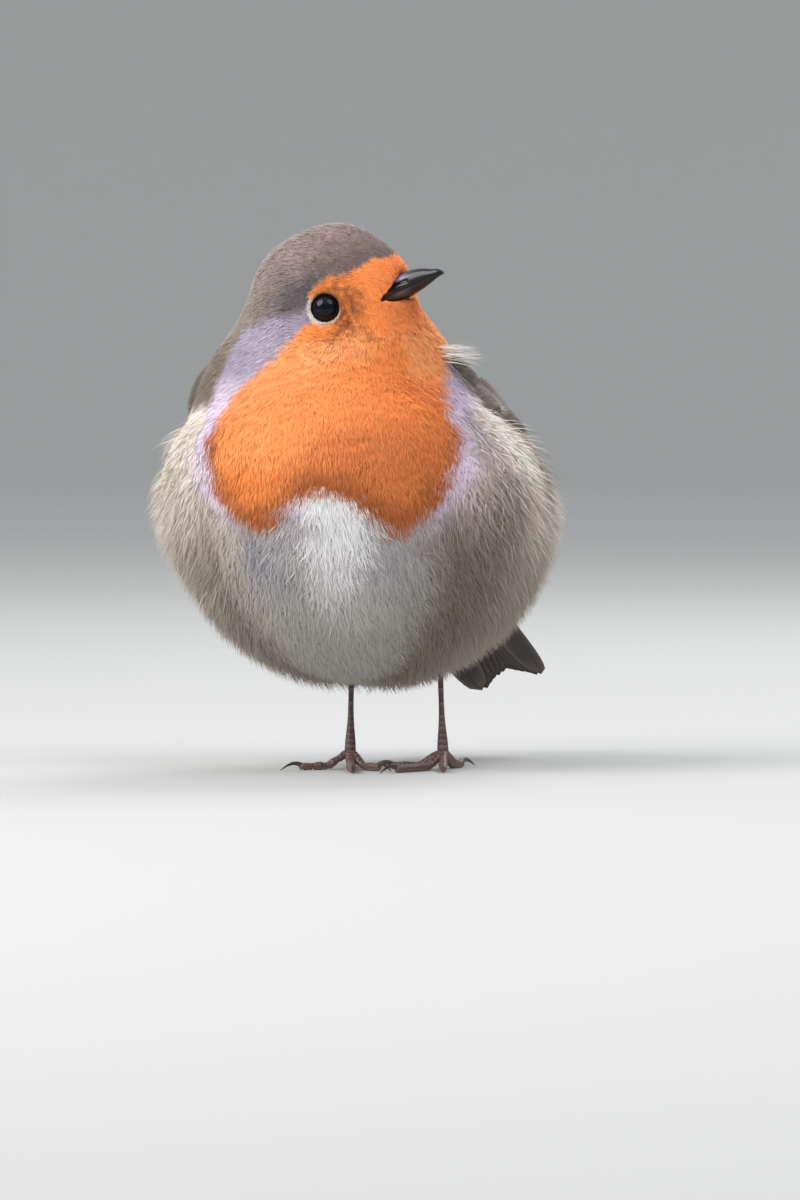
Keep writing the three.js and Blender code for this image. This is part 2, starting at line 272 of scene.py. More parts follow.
# %% The lie of the feathers
def lie_of(points, out):
    """The way a feather points, along the skin."""
    head = into(HEAD, points)
    from_bill = head - BILL_ROOT
    on_head = (unit(from_bill) + np.array([0, 0.8, -0.15])) @ HEAD[1].T
    on_throat = ramp(0, -9, head[:, 2:3]) * ramp(3, 10, -head[:, 1:2])
    on_head = on_head + np.array([-0.1, -0.2, -1.6]) * on_throat
    sideways = np.stack([points[:, 0] + 1, np.zeros(len(points)), np.zeros(len(points))], 1)
    on_body = np.array([0, 0.42, -1.0]) + 0.009 * sideways * ramp(40, 60, points[:, 2:3])
    shelf_like = ramp(-0.2, 0.5, out[:, 2:3]) * ramp(0.2, -0.4, out[:, 1:2])
    on_body = on_body + np.array([0, -1.1, 0]) * shelf_like
    share = ramp(-3, -15, head[:, 2:3]) * ramp(7, 17, np.linalg.norm(from_bill, axis=1)[:, None])
    near_tail = ramp(-6, 14, into(TAIL, points)[:, 1:2])
    lie = unit(on_head) * (1 - share) + unit(on_body) * share
    lie = unit(lie) * (1 - near_tail) + TAIL[1] @ np.array([0, 1, 0.05]) * near_tail
    lie -= out * np.sum(lie * out, 1, keepdims=True)
    for side in SIDES:  # the feathers part round the eye
        along, radial, across = round_the_eye(points, side)
        outwards = unit(across)
        close = ramp(4.6, 2.9, radial) * (along > 0)
        inwards = np.minimum(np.sum(unit(lie) * outwards, 1), 0.25)
        lie += outwards * ((0.25 - inwards) * close)[:, None]
    lie -= out * np.sum(lie * out, 1, keepdims=True)
    return unit(lie)


# %% [markdown]
# ## The skin
#
# One closed skin stands for head, neck and trunk, so that no seam shows between them. It starts as a fine
# ball whose points are pushed out along rays. The rays of the lower half start in the middle of the body.
# Further up their start climbs to the middle of the head, so that the head, and the bowls round its
# eyes, get small even faces too. Where the skin turns in round the bill the faces stretch, so there they
# are cut finer. Remeshing could do that as well, but it would lose the ball that the unwrap needs.

# %% Rays from the inside to the skin
BODY_MIDDLE = np.array([-2, 2, 60.0])
HEAD_MIDDLE = np.array([-4.6, -2.5, 87.0])


def skin_distance(points):
    distance = coat_outline(points) + coat_depth(points)
    for side in SIDES:
        along, radial, _ = round_the_eye(points, side)
        beyond = radial - EYE["opening"]
        rim = BOWL["floor"] + BOWL["slope"] * beyond + BOWL["curl"] * np.maximum(beyond, 0) ** 2
        distance = np.maximum(distance, along - rim)
    return distance


def rays_of(ball):
    """Where the ray of each point of the ball starts, and its direction."""
    tilt = np.degrees(np.arcsin(np.clip(ball[:, 2], -1, 1)))
    start = BODY_MIDDLE + ramp(-8, 36, tilt)[:, None] * (HEAD_MIDDLE - BODY_MIDDLE)
    tilt = np.where(tilt > 0, 90 * np.abs(tilt / 90) ** 1.5, tilt)
    level = unit(ball[:, :2] + 1e-9) * np.cos(np.radians(tilt))[:, None]
    return start, np.column_stack([level, np.sin(np.radians(tilt))])


def along_rays(field, start, direction, steps, first=4.0, stride=0.8):
    """Walks out along each ray, from the first mm, until the field is 0."""
    reached = np.full(len(start), first)
    for _ in range(steps):
        reached -= stride * field(start + direction * reached[:, None])
    return start + direction * reached[:, None]


# %% Cut the ball finer where the skin stretches it
LONGEST_EDGE = {"anywhere": 1.3, "at the bill": 0.5}  # mm
NEAR_BILL = 1.5  # mm from the horn
ball = bmesh.new()
bmesh.ops.create_icosphere(ball, subdivisions=7, radius=1)
for _ in range(3):
    ball_points = np.array([v.co for v in ball.verts])
    skin_points = along_rays(skin_distance, *rays_of(ball_points), 30)
    ends = np.array([[v.index for v in e.verts] for e in ball.edges])
    spans = np.linalg.norm(skin_points[ends[:, 0]] - skin_points[ends[:, 1]], axis=1)
    at_bill = np.abs(bill_distance(into(HEAD, skin_points[ends].mean(1)))) < NEAR_BILL
    limit = np.where(at_bill, LONGEST_EDGE["at the bill"], LONGEST_EDGE["anywhere"])
    stretched = [e for e, long in zip(ball.edges, spans > limit) if long]
    bmesh.ops.subdivide_edges(ball, edges=stretched, cuts=1)
    bmesh.ops.triangulate(ball, faces=ball.faces)
    for v in ball.verts:
        v.co.normalize()
    print("edges cut in two:", len(stretched))
ball_points = np.array([v.co for v in ball.verts])
skin_faces = np.array([[v.index for v in f.verts] for f in ball.faces])
ball.free()
skin_points = along_rays(skin_distance, *rays_of(ball_points), 80)
print("skin:", len(skin_points), "points, worst miss", float(np.abs(skin_distance(skin_points)).max()))

# %% [markdown]
# ## The markings
#
# The orange bib runs from the forehead over the face and breast, with a lavender-grey band round it, a
# grey-brown cap and back, buff-grey flanks and a pale stripe down the belly. Each area is bounded by a
# curve given in the head's frame or by height and compass direction round the body. Skin and feathers
# take their colour from this one function, so they cannot disagree.

# %% Paint, mixing and smooth unevenness
def paint(red, green, blue):
    """A colour as a screen shows it, 0 to 255, turned into linear light."""
    c = np.array([red, green, blue]) / 255
    return np.where(c < 0.04045, c / 12.92, ((c + 0.055) / 1.055) ** 2.4)


def painted(colour):
    return paint(*colour) if isinstance(colour, tuple) else colour


def mix(colour, *layers):
    """Mixes other colours in, one after another, from pairs of a colour and its share from 0 to 1."""
    colour = painted(colour)
    for other, share in layers:
        colour = colour + (painted(other) - colour) * np.asarray(share)[..., None]
    return colour


def by_height(height, *stops):
    """A colour that changes with height, from pairs of a height and a colour."""
    colours = np.array([paint(*colour) for _, colour in stops])
    return np.column_stack([np.interp(height, [level for level, _ in stops], c) for c in colours.T])


def wobble(points, size, seed):
    """Smooth random numbers in space, between -1 and 1, that change over about size mm."""
    lattice = np.random.default_rng(seed).uniform(-1, 1, (32, 32, 32))
    cell = points / size + 16
    low = np.floor(cell).astype(int)
    f = cell - low
    f = f * f * (3 - 2 * f)
    total = 0
    for corner in np.ndindex(2, 2, 2):
        weight = np.prod(np.where(corner, f, 1 - f), axis=1)
        i, j, k = ((low + corner) % 32).T
        total = total + weight * lattice[i, j, k]
    return total


# %% Where the markings lie
# The upper edge of the bib, from the forehead round the eye and down the side of the neck: distance
# behind the head's middle, and height there.
BIB_TOP = ([-20, -14.8, -11, -8, -5.6, -4.2, -3.4, -2.6, -0.6, 3, 5.6, 10.5, 14.3, 22],
           [4.0, 4.4, 4.6, 5.0, 4.9, 3.8, 2.0, -1.7, -2.1, -3, -5.4, -5.9, -7.3, -13])
CAP_EDGE = ([-4, -2.6, 1.2, 5.4, 11.7, 14, 20], [1.6, 1.8, 2.7, 3.6, 3.4, 1.2, -6])
# The sides of the bib lower down: height, middle and half width in degrees round the body.
BIB_SIDE = ([60, 67, 70.7, 77, 82, 88], [1.4, 1.4, 3.5, 18, 38, 65], [47, 46, 48.5, 48, 63, 90])
# Its lower edge: degrees from the middle, and height.
BIB_FOOT = ([0, 7, 14, 20, 24, 28, 34, 38, 41, 45, 49, 60],
            [53.6, 52.3, 48, 45.3, 45, 46.6, 49, 52, 57, 61, 66, 90])
DEGREE = 0.45  # mm round the body that one degree takes up, near the bib


def markings(points):
    """Shares of bib, cap and back, how far inside the bib a point is in about mm, and where it lies."""
    head = into(HEAD, points)
    around = np.degrees(np.arctan2(points[:, 0] + 1, 2 - points[:, 1]))
    height = points[:, 2]
    rough = 0.8 * wobble(points, 2.6, 1) + 0.4 * wobble(points, 1.1, 2)
    on_top = np.interp(head[:, 1], *BIB_TOP) - head[:, 2]
    middle, half_width = (np.interp(height, BIB_SIDE[0], values) for values in BIB_SIDE[1:])
    beside = (half_width - np.abs(around - middle)) * DEGREE + 40 * ramp(80, 86, height)
    below = height - np.interp(np.abs(around - 1), *BIB_FOOT) + 40 * ramp(66, 72, height)
    inside = np.minimum(np.minimum(on_top, beside), below) + rough
    bib = ramp(-0.35, 0.35, inside)
    cap = ramp(-0.8, 0.8, head[:, 2] - np.interp(head[:, 1], *CAP_EDGE) + rough)
    nape = ramp(8, 14, head[:, 1]) * ramp(-16, -8, head[:, 2]) * ramp(70, 76, height)
    nape = nape * ramp(78, 100, np.abs(around - 15))
    cap = np.maximum(cap, nape * ramp(-0.8, 0.8, -inside - 3))
    edge_of_back = 122 + 10 * ramp(64, 74, height)
    back = ramp(0, 20, np.abs(around) + 6 * rough - edge_of_back) * ramp(24, 38, height)
    return {"head": head, "round": around, "height": height, "rough": rough, "inside": inside,
            "below": below, "patchy": wobble(points, 4.5, 3), "bib": bib, "cap": cap * (1 - bib),
            "back": back * (1 - bib)}


# %% Colours of the body
def body_colour(points, m):
    height, around, rough, patchy = m["height"], m["round"], m["rough"], m["patchy"]
    streaky = wobble(points * [1, 1, 0.35], 1.7, 17)
    # Flanks: cream above, fawn below; painted shade darkens the middle of the bird's own left one.
    flank = by_height(height, (30, (150, 139, 127)), (40, (176, 163, 150)), (48, (208, 194, 183)),
                      (56, (226, 217, 207)))
    shaded_left_flank = by_height(height, (30, (126, 117, 107)), (44, (138, 125, 116)), (50, (172, 156, 147)),
                            (58, (194, 179, 173)), (66, (196, 184, 188)))
    belly = by_height(height, (22, (180, 177, 168)), (30, (186, 181, 174)), (40, (196, 191, 188)))
    # Lavender lies beside the bib and on the sides of the neck.
    lavender = by_height(height, (70, (224, 208, 226)), (76, (166, 156, 174)), (82, (150, 139, 158)))
    on_neck = ramp(70, 75, height) * ramp(10, -10, around)
    beside = ramp(13, 4, -m["inside"] - 9 * on_neck) * ramp(44, 54, height)
    colour = mix(
        flank, (shaded_left_flank, ramp(0, 12, around) * ramp(70, 56, around)),
        (belly, ramp(46, 24, np.abs(around)) * ramp(58, 50, height)),
        (lavender, np.clip(beside + 0.12 * patchy, 0, 1) * ramp(40, 46, height)),
        ((150, 138, 136), ramp(60, 68, height) * ramp(72, 86, -around)),
        ((176, 163, 152), ramp(74, 90, np.abs(around)) * ramp(46, 54, height)))
    # Painted light: the upper flank on the bird's own left is painted up to 30% brighter, as light shining
    # through its fringe.
    painted_fringe_light = ramp(54, 70, around) * ramp(84, 72, around) * ramp(40, 48, height)
    # Slate lies either side of the belly's pale stripe.
    slate = ramp(14, 6, np.abs(np.abs(around - 1) - 21)) * ramp(28, 40, height) * ramp(56, 48, height)
    slate *= 1 - 0.55 * ramp(0, 10, around)
    stripe = ramp(13, 5, np.abs(around - 4 + 3 * rough + 2 * streaky)) * ramp(24, 46, height)
    colour = mix(
        colour * (1 + 0.3 * painted_fringe_light)[:, None],
        ((116, 102, 96), ramp(66, 76, around + 3 * rough) * ramp(69, 73, height + rough)),  # shoulder
        ((116, 104, 93), ramp(84, 94, np.abs(around)) * ramp(50, 57, height + rough)),  # behind the wing
        ((146, 144, 156), np.clip(slate * (0.7 + 0.35 * patchy + 0.5 * streaky), 0, 1)),
        ((250, 247, 250), stripe * ramp(58, 54, height)))
    _, behind, above = into(TAIL, points).T
    return mix(colour * (1 + 0.07 * streaky * ramp(60, 52, height))[:, None],
               ((112, 101, 87), m["back"]), ((182, 174, 160), ramp(10, 20, behind) * ramp(2, -4, above)))


# %% Colours of the cap, the bib and the rings round the eyes
def cap_colour(m):
    head = m["head"]
    dusky = ramp(4.5, 1, np.abs(head[:, 2] - 4.4)) * ramp(8, 0, head[:, 1]) * ramp(-11, -5, head[:, 1])
    crown = mix((106, 92, 88), ((128, 109, 106), np.clip(ramp(5, 12, head[:, 2]) + 0.3 * m["patchy"], 0, 1)),
                ((122, 109, 98), ramp(4, 12, head[:, 1])), ((92, 87, 90), 0.9 * dusky))
    return crown * (1 + 0.22 * wobble(head * [1.6, 0.5, 1.6], 0.8, 7))[:, None]


def bib_colour(m):
    """Brightest on the upper breast and lower face, as painted light, darker low towards the bird's own left,
    as painted shade, and deeper along its lower edge.
    """
    height, around, patchy = m["height"], m["round"], m["patchy"]
    _, behind, above = m["head"].T
    return mix(
        (242, 145, 72),
        # painted light: the upper breast is painted brighter, most towards the bird's own right, where the
        # key lamp stands
        ((252, 162, 92), ramp(84, 72, height) * ramp(55, 60, height) * ramp(40, -10, around)),
        # painted shade: low on the breast, from the middle to the bird's own left
        ((222, 130, 69), ramp(70, 62, height) * ramp(-16, 8, around + 3 * patchy)),
        # painted light: the top of the breast on the bird's own left is painted brighter, against the shade
        # the lamps leave there
        ((255, 170, 106), ramp(34, 44, around) * ramp(71, 76, height)),
        # painted light: the chin and lower face, ahead of and below the eyes, are painted brighter
        ((250, 162, 98), ramp(-4, -8, above) * ramp(-14, -9, above) * ramp(-14, -8, behind)),
        ((186, 104, 54), ramp(8, 2, m["below"] + 2 * patchy)),
        ((244, 144, 80), ramp(-11, -16, behind) * ramp(-16, -8, above)))


def round_the_eyes(points, rough):
    """Shares of the rusty flecks in front of the eyes, and of the cream ring behind and below them."""
    rusty, ring = np.zeros(len(points)), np.zeros(len(points))
    flecks = 0.65 + 0.5 * wobble(points, 1.1, 4) + 1.15 * wobble(points, 0.45, 8)
    for side in SIDES:
        along, radial, across = round_the_eye(points, side)
        _, level, up = (unit(across) @ HEAD[1]).T
        in_front = ramp(9.5, 5, radial) * ramp(0.5, -0.4, level) * (1 - 0.5 * ramp(0, 0.9, up))
        behind = ramp(0.1, 0.8, level)
        below = ramp(-0.1, -0.8, up) * ramp(-0.9, 0, level)
        pale = ramp(3.5 + 0.5 * behind, 3.0, radial + 0.2 * rough)
        rusty = np.maximum(rusty, in_front * (along > 0))
        ring = np.maximum(ring, pale * np.maximum(behind, 0.8 * below) * (along > 0))
    return np.clip(rusty * flecks, 0, 1), ring


def coat_colour(points):
    m = markings(points)
    rusty, ring = round_the_eyes(points, m["rough"])
    colour = mix(body_colour(points, m), (cap_colour(m), m["cap"]),
                 (mix(bib_colour(m), ((140, 76, 44), rusty)), m["bib"]), ((244, 228, 204), ring))
    grain = 1 + 0.05 * wobble(points, 1.6, 5) + 0.07 * wobble(points, 0.7, 6)
    return np.clip(colour * grain[:, None], 0.003, 0.95)


# %% [markdown]
# ## The unwrap
#
# The skin is unwrapped by folding its ball flat into a square, as an octahedron opens. Every tuft then
# gets a small patch of this map, at the place of its root.

# %% Fold the ball into a square
def folded(ball):
    x, y, z = (ball / np.sum(np.abs(ball), 1, keepdims=True)).T
    over = z < 0
    fold_x = np.where(over, (1 - np.abs(y)) * np.where(x < 0, -1, 1), x)
    fold_y = np.where(over, (1 - np.abs(x)) * np.where(y < 0, -1, 1), y)
    return np.column_stack([fold_x, fold_y]) * 0.49 + 0.5


unwrapped = folded(ball_points)

# %% The lie and the depth of the coat, point by point
skin_out = slope_of(coat_outline, skin_points)
skin_lie = lie_of(skin_points, skin_out)
loft = -coat_outline(skin_points)
for side in SIDES:
    along, radial, _ = round_the_eye(skin_points, side)
    room = 0.28 + 0.42 * np.maximum(radial - EYE["opening"], 0)
    loft = np.where((along > 0) & (radial < 9), np.minimum(loft, room), loft)
print("coat depth, mm:", loft.min().round(2), "to", loft.max().round(2))

# %% [markdown]
# ## Where the wings lie
#
# A folded wing is a long leaf that hugs the body. A place on it is given by how far it is from the wrist
# to the tip, and how far across, from -1 at the back's edge to 1 at the belly's edge. Fluffed flank
# feathers hide its lower part, as they do on a real bird in the cold, and the wing hides the coat beneath.

# %% The surface of a folded wing
WING = {
    "wrist": (26, -6, 72),
    "bulge": {"left": (40, 26, 62), "right": (38, 30, 61)},
    "tip": {"left": (17.5, 45, 38), "right": (-4.5, 48, 38.5)},
    "half_chord": [(0, 4.5), (0.12, 8.5), (0.35, 11), (0.6, 9), (0.8, 5.8), (0.93, 3.2), (1, 1.4)],
    "half_thickness": [(0, 1.2), (0.3, 1.8), (0.7, 0.9), (1, 0.2)],
    "sunk": 2.0,
    "clings": (0.75, 1.0),
    "dives": 3.2,  # how far it sinks under the flank feathers and at the wrist
}
SHOWS = [(0, 0.2), (0.2, 0.2), (0.4, 0.15), (0.6, 0.25), (0.8, 0.7), (1, 1.4)]  # the wing shows short of this


def wing_surface(side, t, across, height=0.0):
    """A point of the wing's outer face, or height mm above it. t and across are arrays."""
    mirror = np.array([SIDES[side], 1, 1])
    a, b, c = (mirror * np.array(p, float) for p in (WING["wrist"], WING["bulge"][side], WING["tip"][side]))
    t, across = np.asarray(t, float)[:, None], np.asarray(across, float)
    line = (1 - t) ** 2 * a + 2 * t * (1 - t) * b + t**2 * c
    tangent = unit((1 - t) * (b - a) + t * (c - b))
    sideways = unit(np.cross(tangent, slope_of(plumage, line))) * SIDES[side]
    t = t[:, 0]
    flat = line + sideways * (across * curve(WING["half_chord"], t))[:, None]
    facing = slope_of(plumage, flat)
    outside = plumage(flat) + WING["sunk"]
    drawn_in = 1 - ramp(*WING["clings"], t)
    flat = flat + facing * np.where(outside > 0, -outside * drawn_in, -outside)[:, None]
    thick = curve(WING["half_thickness"], t) * np.sqrt(np.clip(1 - across**2, 0, 1))
    dives = ramp(0, 0.35, across - curve(SHOWS, t)) * ramp(0.95, 0.8, t) + ramp(0.07, 0, t)
    return flat + facing * (thick + height - WING["dives"] * dives)[:, None]


# %% Where a wing hides the coat
def grid(rows, columns):
    """Every pair of two ranges, row by row, as two flat arrays."""
    return (g.ravel() for g in np.meshgrid(rows, columns, indexing="ij"))


def tree_of(points):
    """A search tree, which finds the nearest of many points quickly."""
    tree = KDTree(len(points))
    for i, p in enumerate(points):
        tree.insert(p, i)
    tree.balance()
    return tree


WING_REACH = 48  # mm from the middle of a wing, beyond which nothing lies under it


def under_wing(points):
    """For each point: 1 where a wing hides it, and the height of the wing's face above the point."""
    hidden, above = np.zeros(len(points)), np.zeros(len(points))
    for side in SIDES:
        across, t = grid(np.linspace(-1.1, 1.1, 40), np.linspace(0, 1, 70))
        face = wing_surface(side, t, across)
        tree = tree_of(face)
        near = np.flatnonzero(np.linalg.norm(points - face.mean(0), axis=1) < WING_REACH)
        found = [tree.find(points[i])[1:] for i in near]
        at, gap = np.array([f[0] for f in found]), np.array([f[1] for f in found])
        level = np.sum((face[at] - points[near]) * slope_of(plumage, points[near]), 1)
        beside = np.sqrt(np.maximum(gap**2 - level**2, 0))
        over = ramp(1.6, 0.4, beside) * (level > -1) * ramp(9, 6, level)
        shown = ramp(0.08, -0.08, across[at] - curve(SHOWS, t[at])) * ramp(-1.02, -0.85, across[at])
        hidden[near] = np.maximum(hidden[near], over * shown * ramp(0.03, 0.13, t[at]))
        above[near] = np.maximum(above[near], over * np.maximum(level, 0))
    return hidden, above


# %% [markdown]
# ## Materials and pieces
#
# Feather keratin is matt with a faint sheen where it is seen edge on. The colour comes from the mesh
# itself. Horn, skin and the eye each get a plain shader too. Every finished piece goes through one
# function, which makes its mesh, gives it its colours and its maps, and hands it to the frame.

# %% Materials
def material(name, roughness, colour=None, **settings):
    """A Principled material whose colour is plain, or else read from the mesh's layer named coat."""
    made = bpy.data.materials.new(name)
    made.use_nodes = True
    shader = made.node_tree.nodes["Principled BSDF"]
    shader.inputs["Roughness"].default_value = roughness
    for key, value in settings.items():
        shader.inputs[key.replace("_", " ")].default_value = value
    if colour:
        shader.inputs["Base Color"].default_value = (*colour, 1)
    else:
        source = made.node_tree.nodes.new("ShaderNodeAttribute")
        source.attribute_name = "coat"
        made.node_tree.links.new(source.outputs["Color"], shader.inputs["Base Color"])
    return made


plumes = material("feather", 0.82, Sheen_Weight=0.18, Sheen_Roughness=0.4, Specular_IOR_Level=0.25)
skin_cover = material("skin_under_feathers", 0.95, Specular_IOR_Level=0.1)

# %% Meshes with layers
COLOURS, MAPS = ("coat", "plume"), ("OFBake", "vane")


def put(mesh, **layers):
    """Stores layers on a mesh, from a value for each point. A map's places go to the faces' corners."""
    for name, values in layers.items():
        values = np.asarray(values, np.float32)
        if name in MAPS:
            layer = mesh.attributes.new(name, "FLOAT2", "CORNER")
            layer.data.foreach_set("vector", values[[v for f in mesh.polygons for v in f.vertices]].ravel())
        elif name in COLOURS:
            rows = np.ones((len(mesh.vertices), 4), np.float32)
            rows[:, :3] = np.clip(values, 0.002, 1)
            mesh.attributes.new(name, "FLOAT_COLOR", "POINT").data.foreach_set("color", rows.ravel())
        elif values.ndim == 2:
            mesh.attributes.new(name, "FLOAT_VECTOR", "POINT").data.foreach_set("vector", values.ravel())
        else:
            mesh.attributes.new(name, "FLOAT", "POINT").data.foreach_set("value", values)


def mesh_object(name, points, faces, smooth=True):
    mesh = bpy.data.meshes.new(name)
    mesh.from_pydata(np.asarray(points), [], [tuple(int(i) for i in f) for f in faces])
    mesh.validate()
    mesh.shade_smooth() if smooth else mesh.shade_flat()
    return bpy.data.objects.new(name, mesh)


def link(made):
    bpy.context.scene.collection.objects.link(made)
    return made


def hand_over(made, slot, *nodes):
    """Rides a piece on the one body there is, in place of the CAD nodes that are named."""
    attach(made, "root")
    if nodes:
        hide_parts(*nodes)
    made.data.calc_loop_triangles()
    print(f"{made.name}: {len(made.data.loop_triangles):,} triangles")


def piece(name, points, faces, slot, cover, *nodes, **layers):
    """A finished piece, from points in mm in the drawing frame."""
    made = link(mesh_object(name, (np.asarray(points) + SHIFT) * MM, faces))
    put(made.data, **layers)
    made.data.materials.append(cover)
    hand_over(made, slot, *nodes)
    return made


def growing(out, lie, loft, length, plume, unwrap):
    """The layers that the machine which grows the coat asks of a mesh."""
    level = np.zeros(len(out))
    return {"out": out, "lie": lie, "loft": (loft + level) * MM, "length": (length + level) * MM,
            "plume": plume, "unwrap": np.column_stack([unwrap, level])}


# %% [markdown]
# ## The skin as a mesh
#
# The feathers are planted on this mesh, so each of its points carries what they need to know: which way
# is out, which way they lie, how high they may rise, how long they are and what colour their tips have.
# They are shortest round the mouth and the eyes, and longest on the fluffed belly.

# %% The skin
from_mouth = np.linalg.norm(into(HEAD, skin_points) - BILL_ROOT, axis=1)
from_eye = np.min([np.where(along < 0, 20, 0) + radial for along, radial, _ in
                   (round_the_eye(skin_points, side) for side in SIDES)], axis=0)
low_down = ramp(66, 46, skin_points[:, 2])
marks = markings(skin_points)
length = 1.15 + 1.0 * ramp(3, 13, from_mouth) + 1.6 * ramp(12, 28, from_mouth)
length += ramp(-4, -20, marks["head"][:, 2]) * (2.0 + 1.6 * low_down * (1 - 0.4 * marks["bib"]))
length += 1.2 * marks["back"]
length = np.minimum(length, 0.75 + 0.42 * np.maximum(from_eye - EYE["opening"], 0))

hidden, wing_height = under_wing(skin_points)
loft = np.maximum(loft, wing_height + 0.9 * ramp(0, 1.5, wing_height))
print("skin under the wings:", float(hidden.mean().round(3)))
print("feather length, mm:", length.min().round(2), "to", length.max().round(2))

SHOWN = 0.72  # of a feather's length, at which its colour is taken
# Painted shade: the skin under the coat is painted darker than the feathers over it.
SKIN_SHADE = 0.92  # how dark the skin is beside the feathers over it
feather_tips = skin_points + skin_out * loft[:, None] + skin_lie * length[:, None] * SHOWN
skin = piece("skin", skin_points, skin_faces, "grey_plumage", skin_cover, "head", "neck", "trunk",
             coat=coat_colour(skin_points) * SKIN_SHADE,
             **growing(skin_out, skin_lie, loft, length, coat_colour(feather_tips), unwrapped))

# %% [markdown]
# ## One tuft
#
# A contour feather of a robin ends in loose barbs, so a tuft is a fan of thin blades. It lies along +Y
# from its root, a unit long, with +Z out of the skin. Each blade carries where along it a point is, a
# random number, and its place in the tuft's patch of the map. Hair particles would be quicker to comb,
# but a fan of real blades keeps its looks in every renderer.

# %% A blade, and a pile of small shapes
def blade(middles, halves):
    """A thin blade that ends in a point: points, faces, how far along each point lies, and its side."""
    last = len(middles) - 1
    points, faces, along, hand = [], [], [], []
    for s, (middle, half) in enumerate(zip(middles, halves)):
        points += [middle] if s == last else [middle - half, middle + half]
        along += [s / last] * (1 if s == last else 2)
        hand += [0.5] if s == last else [0, 1]
        if s < last:
            i = 2 * s
            faces.append([i, i + 1, i + 2] if s == last - 1 else [i, i + 1, i + 3, i + 2])
    return points, faces, np.array(along), np.array(hand)


class Pile:
    """Gathers many small shapes, with layers, into the points and faces of one mesh."""

    def __init__(self):
        self.points, self.faces, self.layers, self.count = [], [], {}, 0

    def add(self, points, faces, **layers):
        start = len(self.points)
        self.points += list(points)
        self.faces += [[start + i for i in f] for f in faces]
        for name, values in layers.items():
            self.layers.setdefault(name, []).extend(values)
        self.count += 1

    def piece(self, name, slot, cover, *nodes):
        return piece(name, self.points, self.faces, slot, cover, *nodes, **self.layers)


# %% Make fans of blades
TUFTS = {  # blades, sections along each, fan's half angle in degrees, width of a blade, raggedness
    "fine": (8, 2, 15, 0.075, 0.16),
    "sleek": (13, 2, 17, 0.034, 0.18),
    "downy": (14, 2, 19, 0.019, 0.28),
    "lock": (10, 3, 7, 0.017, 0.45),
}
VARIANTS = 5
shelf = bpy.data.scenes.new("shelf")  # holds the tufts, out of the picture


def fan(kind, variant):
    blades, sections, spread, width, ragged = TUFTS[kind]
    dice = np.random.default_rng(40 * variant + len(kind))
    t = np.linspace(0, 1, sections + 1)
    half_width = 0.5 * width * (0.75 + 0.5 * np.sin(pi * np.minimum(t * 1.1, 1)))
    tuft = Pile()
    for b in range(blades):
        share = (b + 0.5) / blades
        lean = radians(spread) * (2 * share - 1) + dice.normal(0, 0.07)
        reach = 1 - ragged * dice.random() - 0.18 * abs(2 * share - 1)
        bend, twist, chance = dice.normal(0, 0.10), dice.normal(0, 0.5), dice.random()
        middles = np.column_stack([0.22 * (share - 0.5) + sin(lean) * reach * t + bend * t * t,
                                   cos(lean) * reach * t, 0 * t])
        across = np.array([cos(lean), -sin(lean), twist * 0.6])
        points, faces, along, hand = blade(middles, across * half_width[:, None])
        tuft.add(points, faces, along=along, chance=0 * along + chance, lift=[p[2] for p in points],
                 patch=np.column_stack([(b + 0.1 + 0.8 * hand) / blades, 0.05 + 0.9 * along, 0 * along]))
    made = mesh_object(f"{kind}_{variant}", tuft.points, tuft.faces, smooth=False)
    put(made.data, **tuft.layers)
    return made


tufts = {}
for kind in TUFTS:
    tufts[kind] = bpy.data.collections.new(kind)
    shelf.collection.children.link(tufts[kind])
    for variant in range(VARIANTS):
        tufts[kind].objects.link(fan(kind, variant))

# %% [markdown]
# ## The machine that grows the coat
#
# One node tree serves all regions. It scatters roots over the skin, sets a tuft on each with its back
# outwards and its tips down the lie, then bends every blade over the skin: a point keeps its place along
# the surface and rises from the skin at its root to the coat's outline at its tip.

# %% A short way to add nodes
class Nodes:
    """Adds nodes to a tree. An input takes a socket to link to, or a plain value. Outputs are returned."""

    def __init__(self, tree):
        self.tree = tree

    def add(self, kind, inputs=(), **settings):
        made = self.tree.nodes.new(kind)
        for key, value in settings.items():
            setattr(made, key, value)
        for socket, source in dict(inputs).items():
            if isinstance(source, bpy.types.NodeSocket):
                self.tree.links.new(source, made.inputs[socket])
            else:
                made.inputs[socket].default_value = source
        return made.outputs

    def math(self, operation, a, b=0.0):
        return self.add("ShaderNodeMath", {0: a, 1: b}, operation=operation)[0]

    def vector(self, operation, inputs):
        return self.add("ShaderNodeVectorMath", inputs, operation=operation)[0]

    def layer(self, name, kind="FLOAT"):
        return self.add("GeometryNodeInputNamedAttribute", {"Name": name}, data_type=kind)[0]

    def store(self, geometry, name, value, kind="FLOAT", domain="POINT"):
        inputs = {"Geometry": geometry, "Name": name, "Value": value}
        return self.add("GeometryNodeStoreNamedAttribute", inputs, data_type=kind, domain=domain)[0]

    def chance(self, low, high, seed, kind="FLOAT"):
        first = 2 if kind == "FLOAT" else 4  # the sockets for the limits, and one for what comes out
        return self.add("FunctionNodeRandomValue", {first: low, first + 1: high, "Seed": seed},
                        data_type=kind)[first // 2]


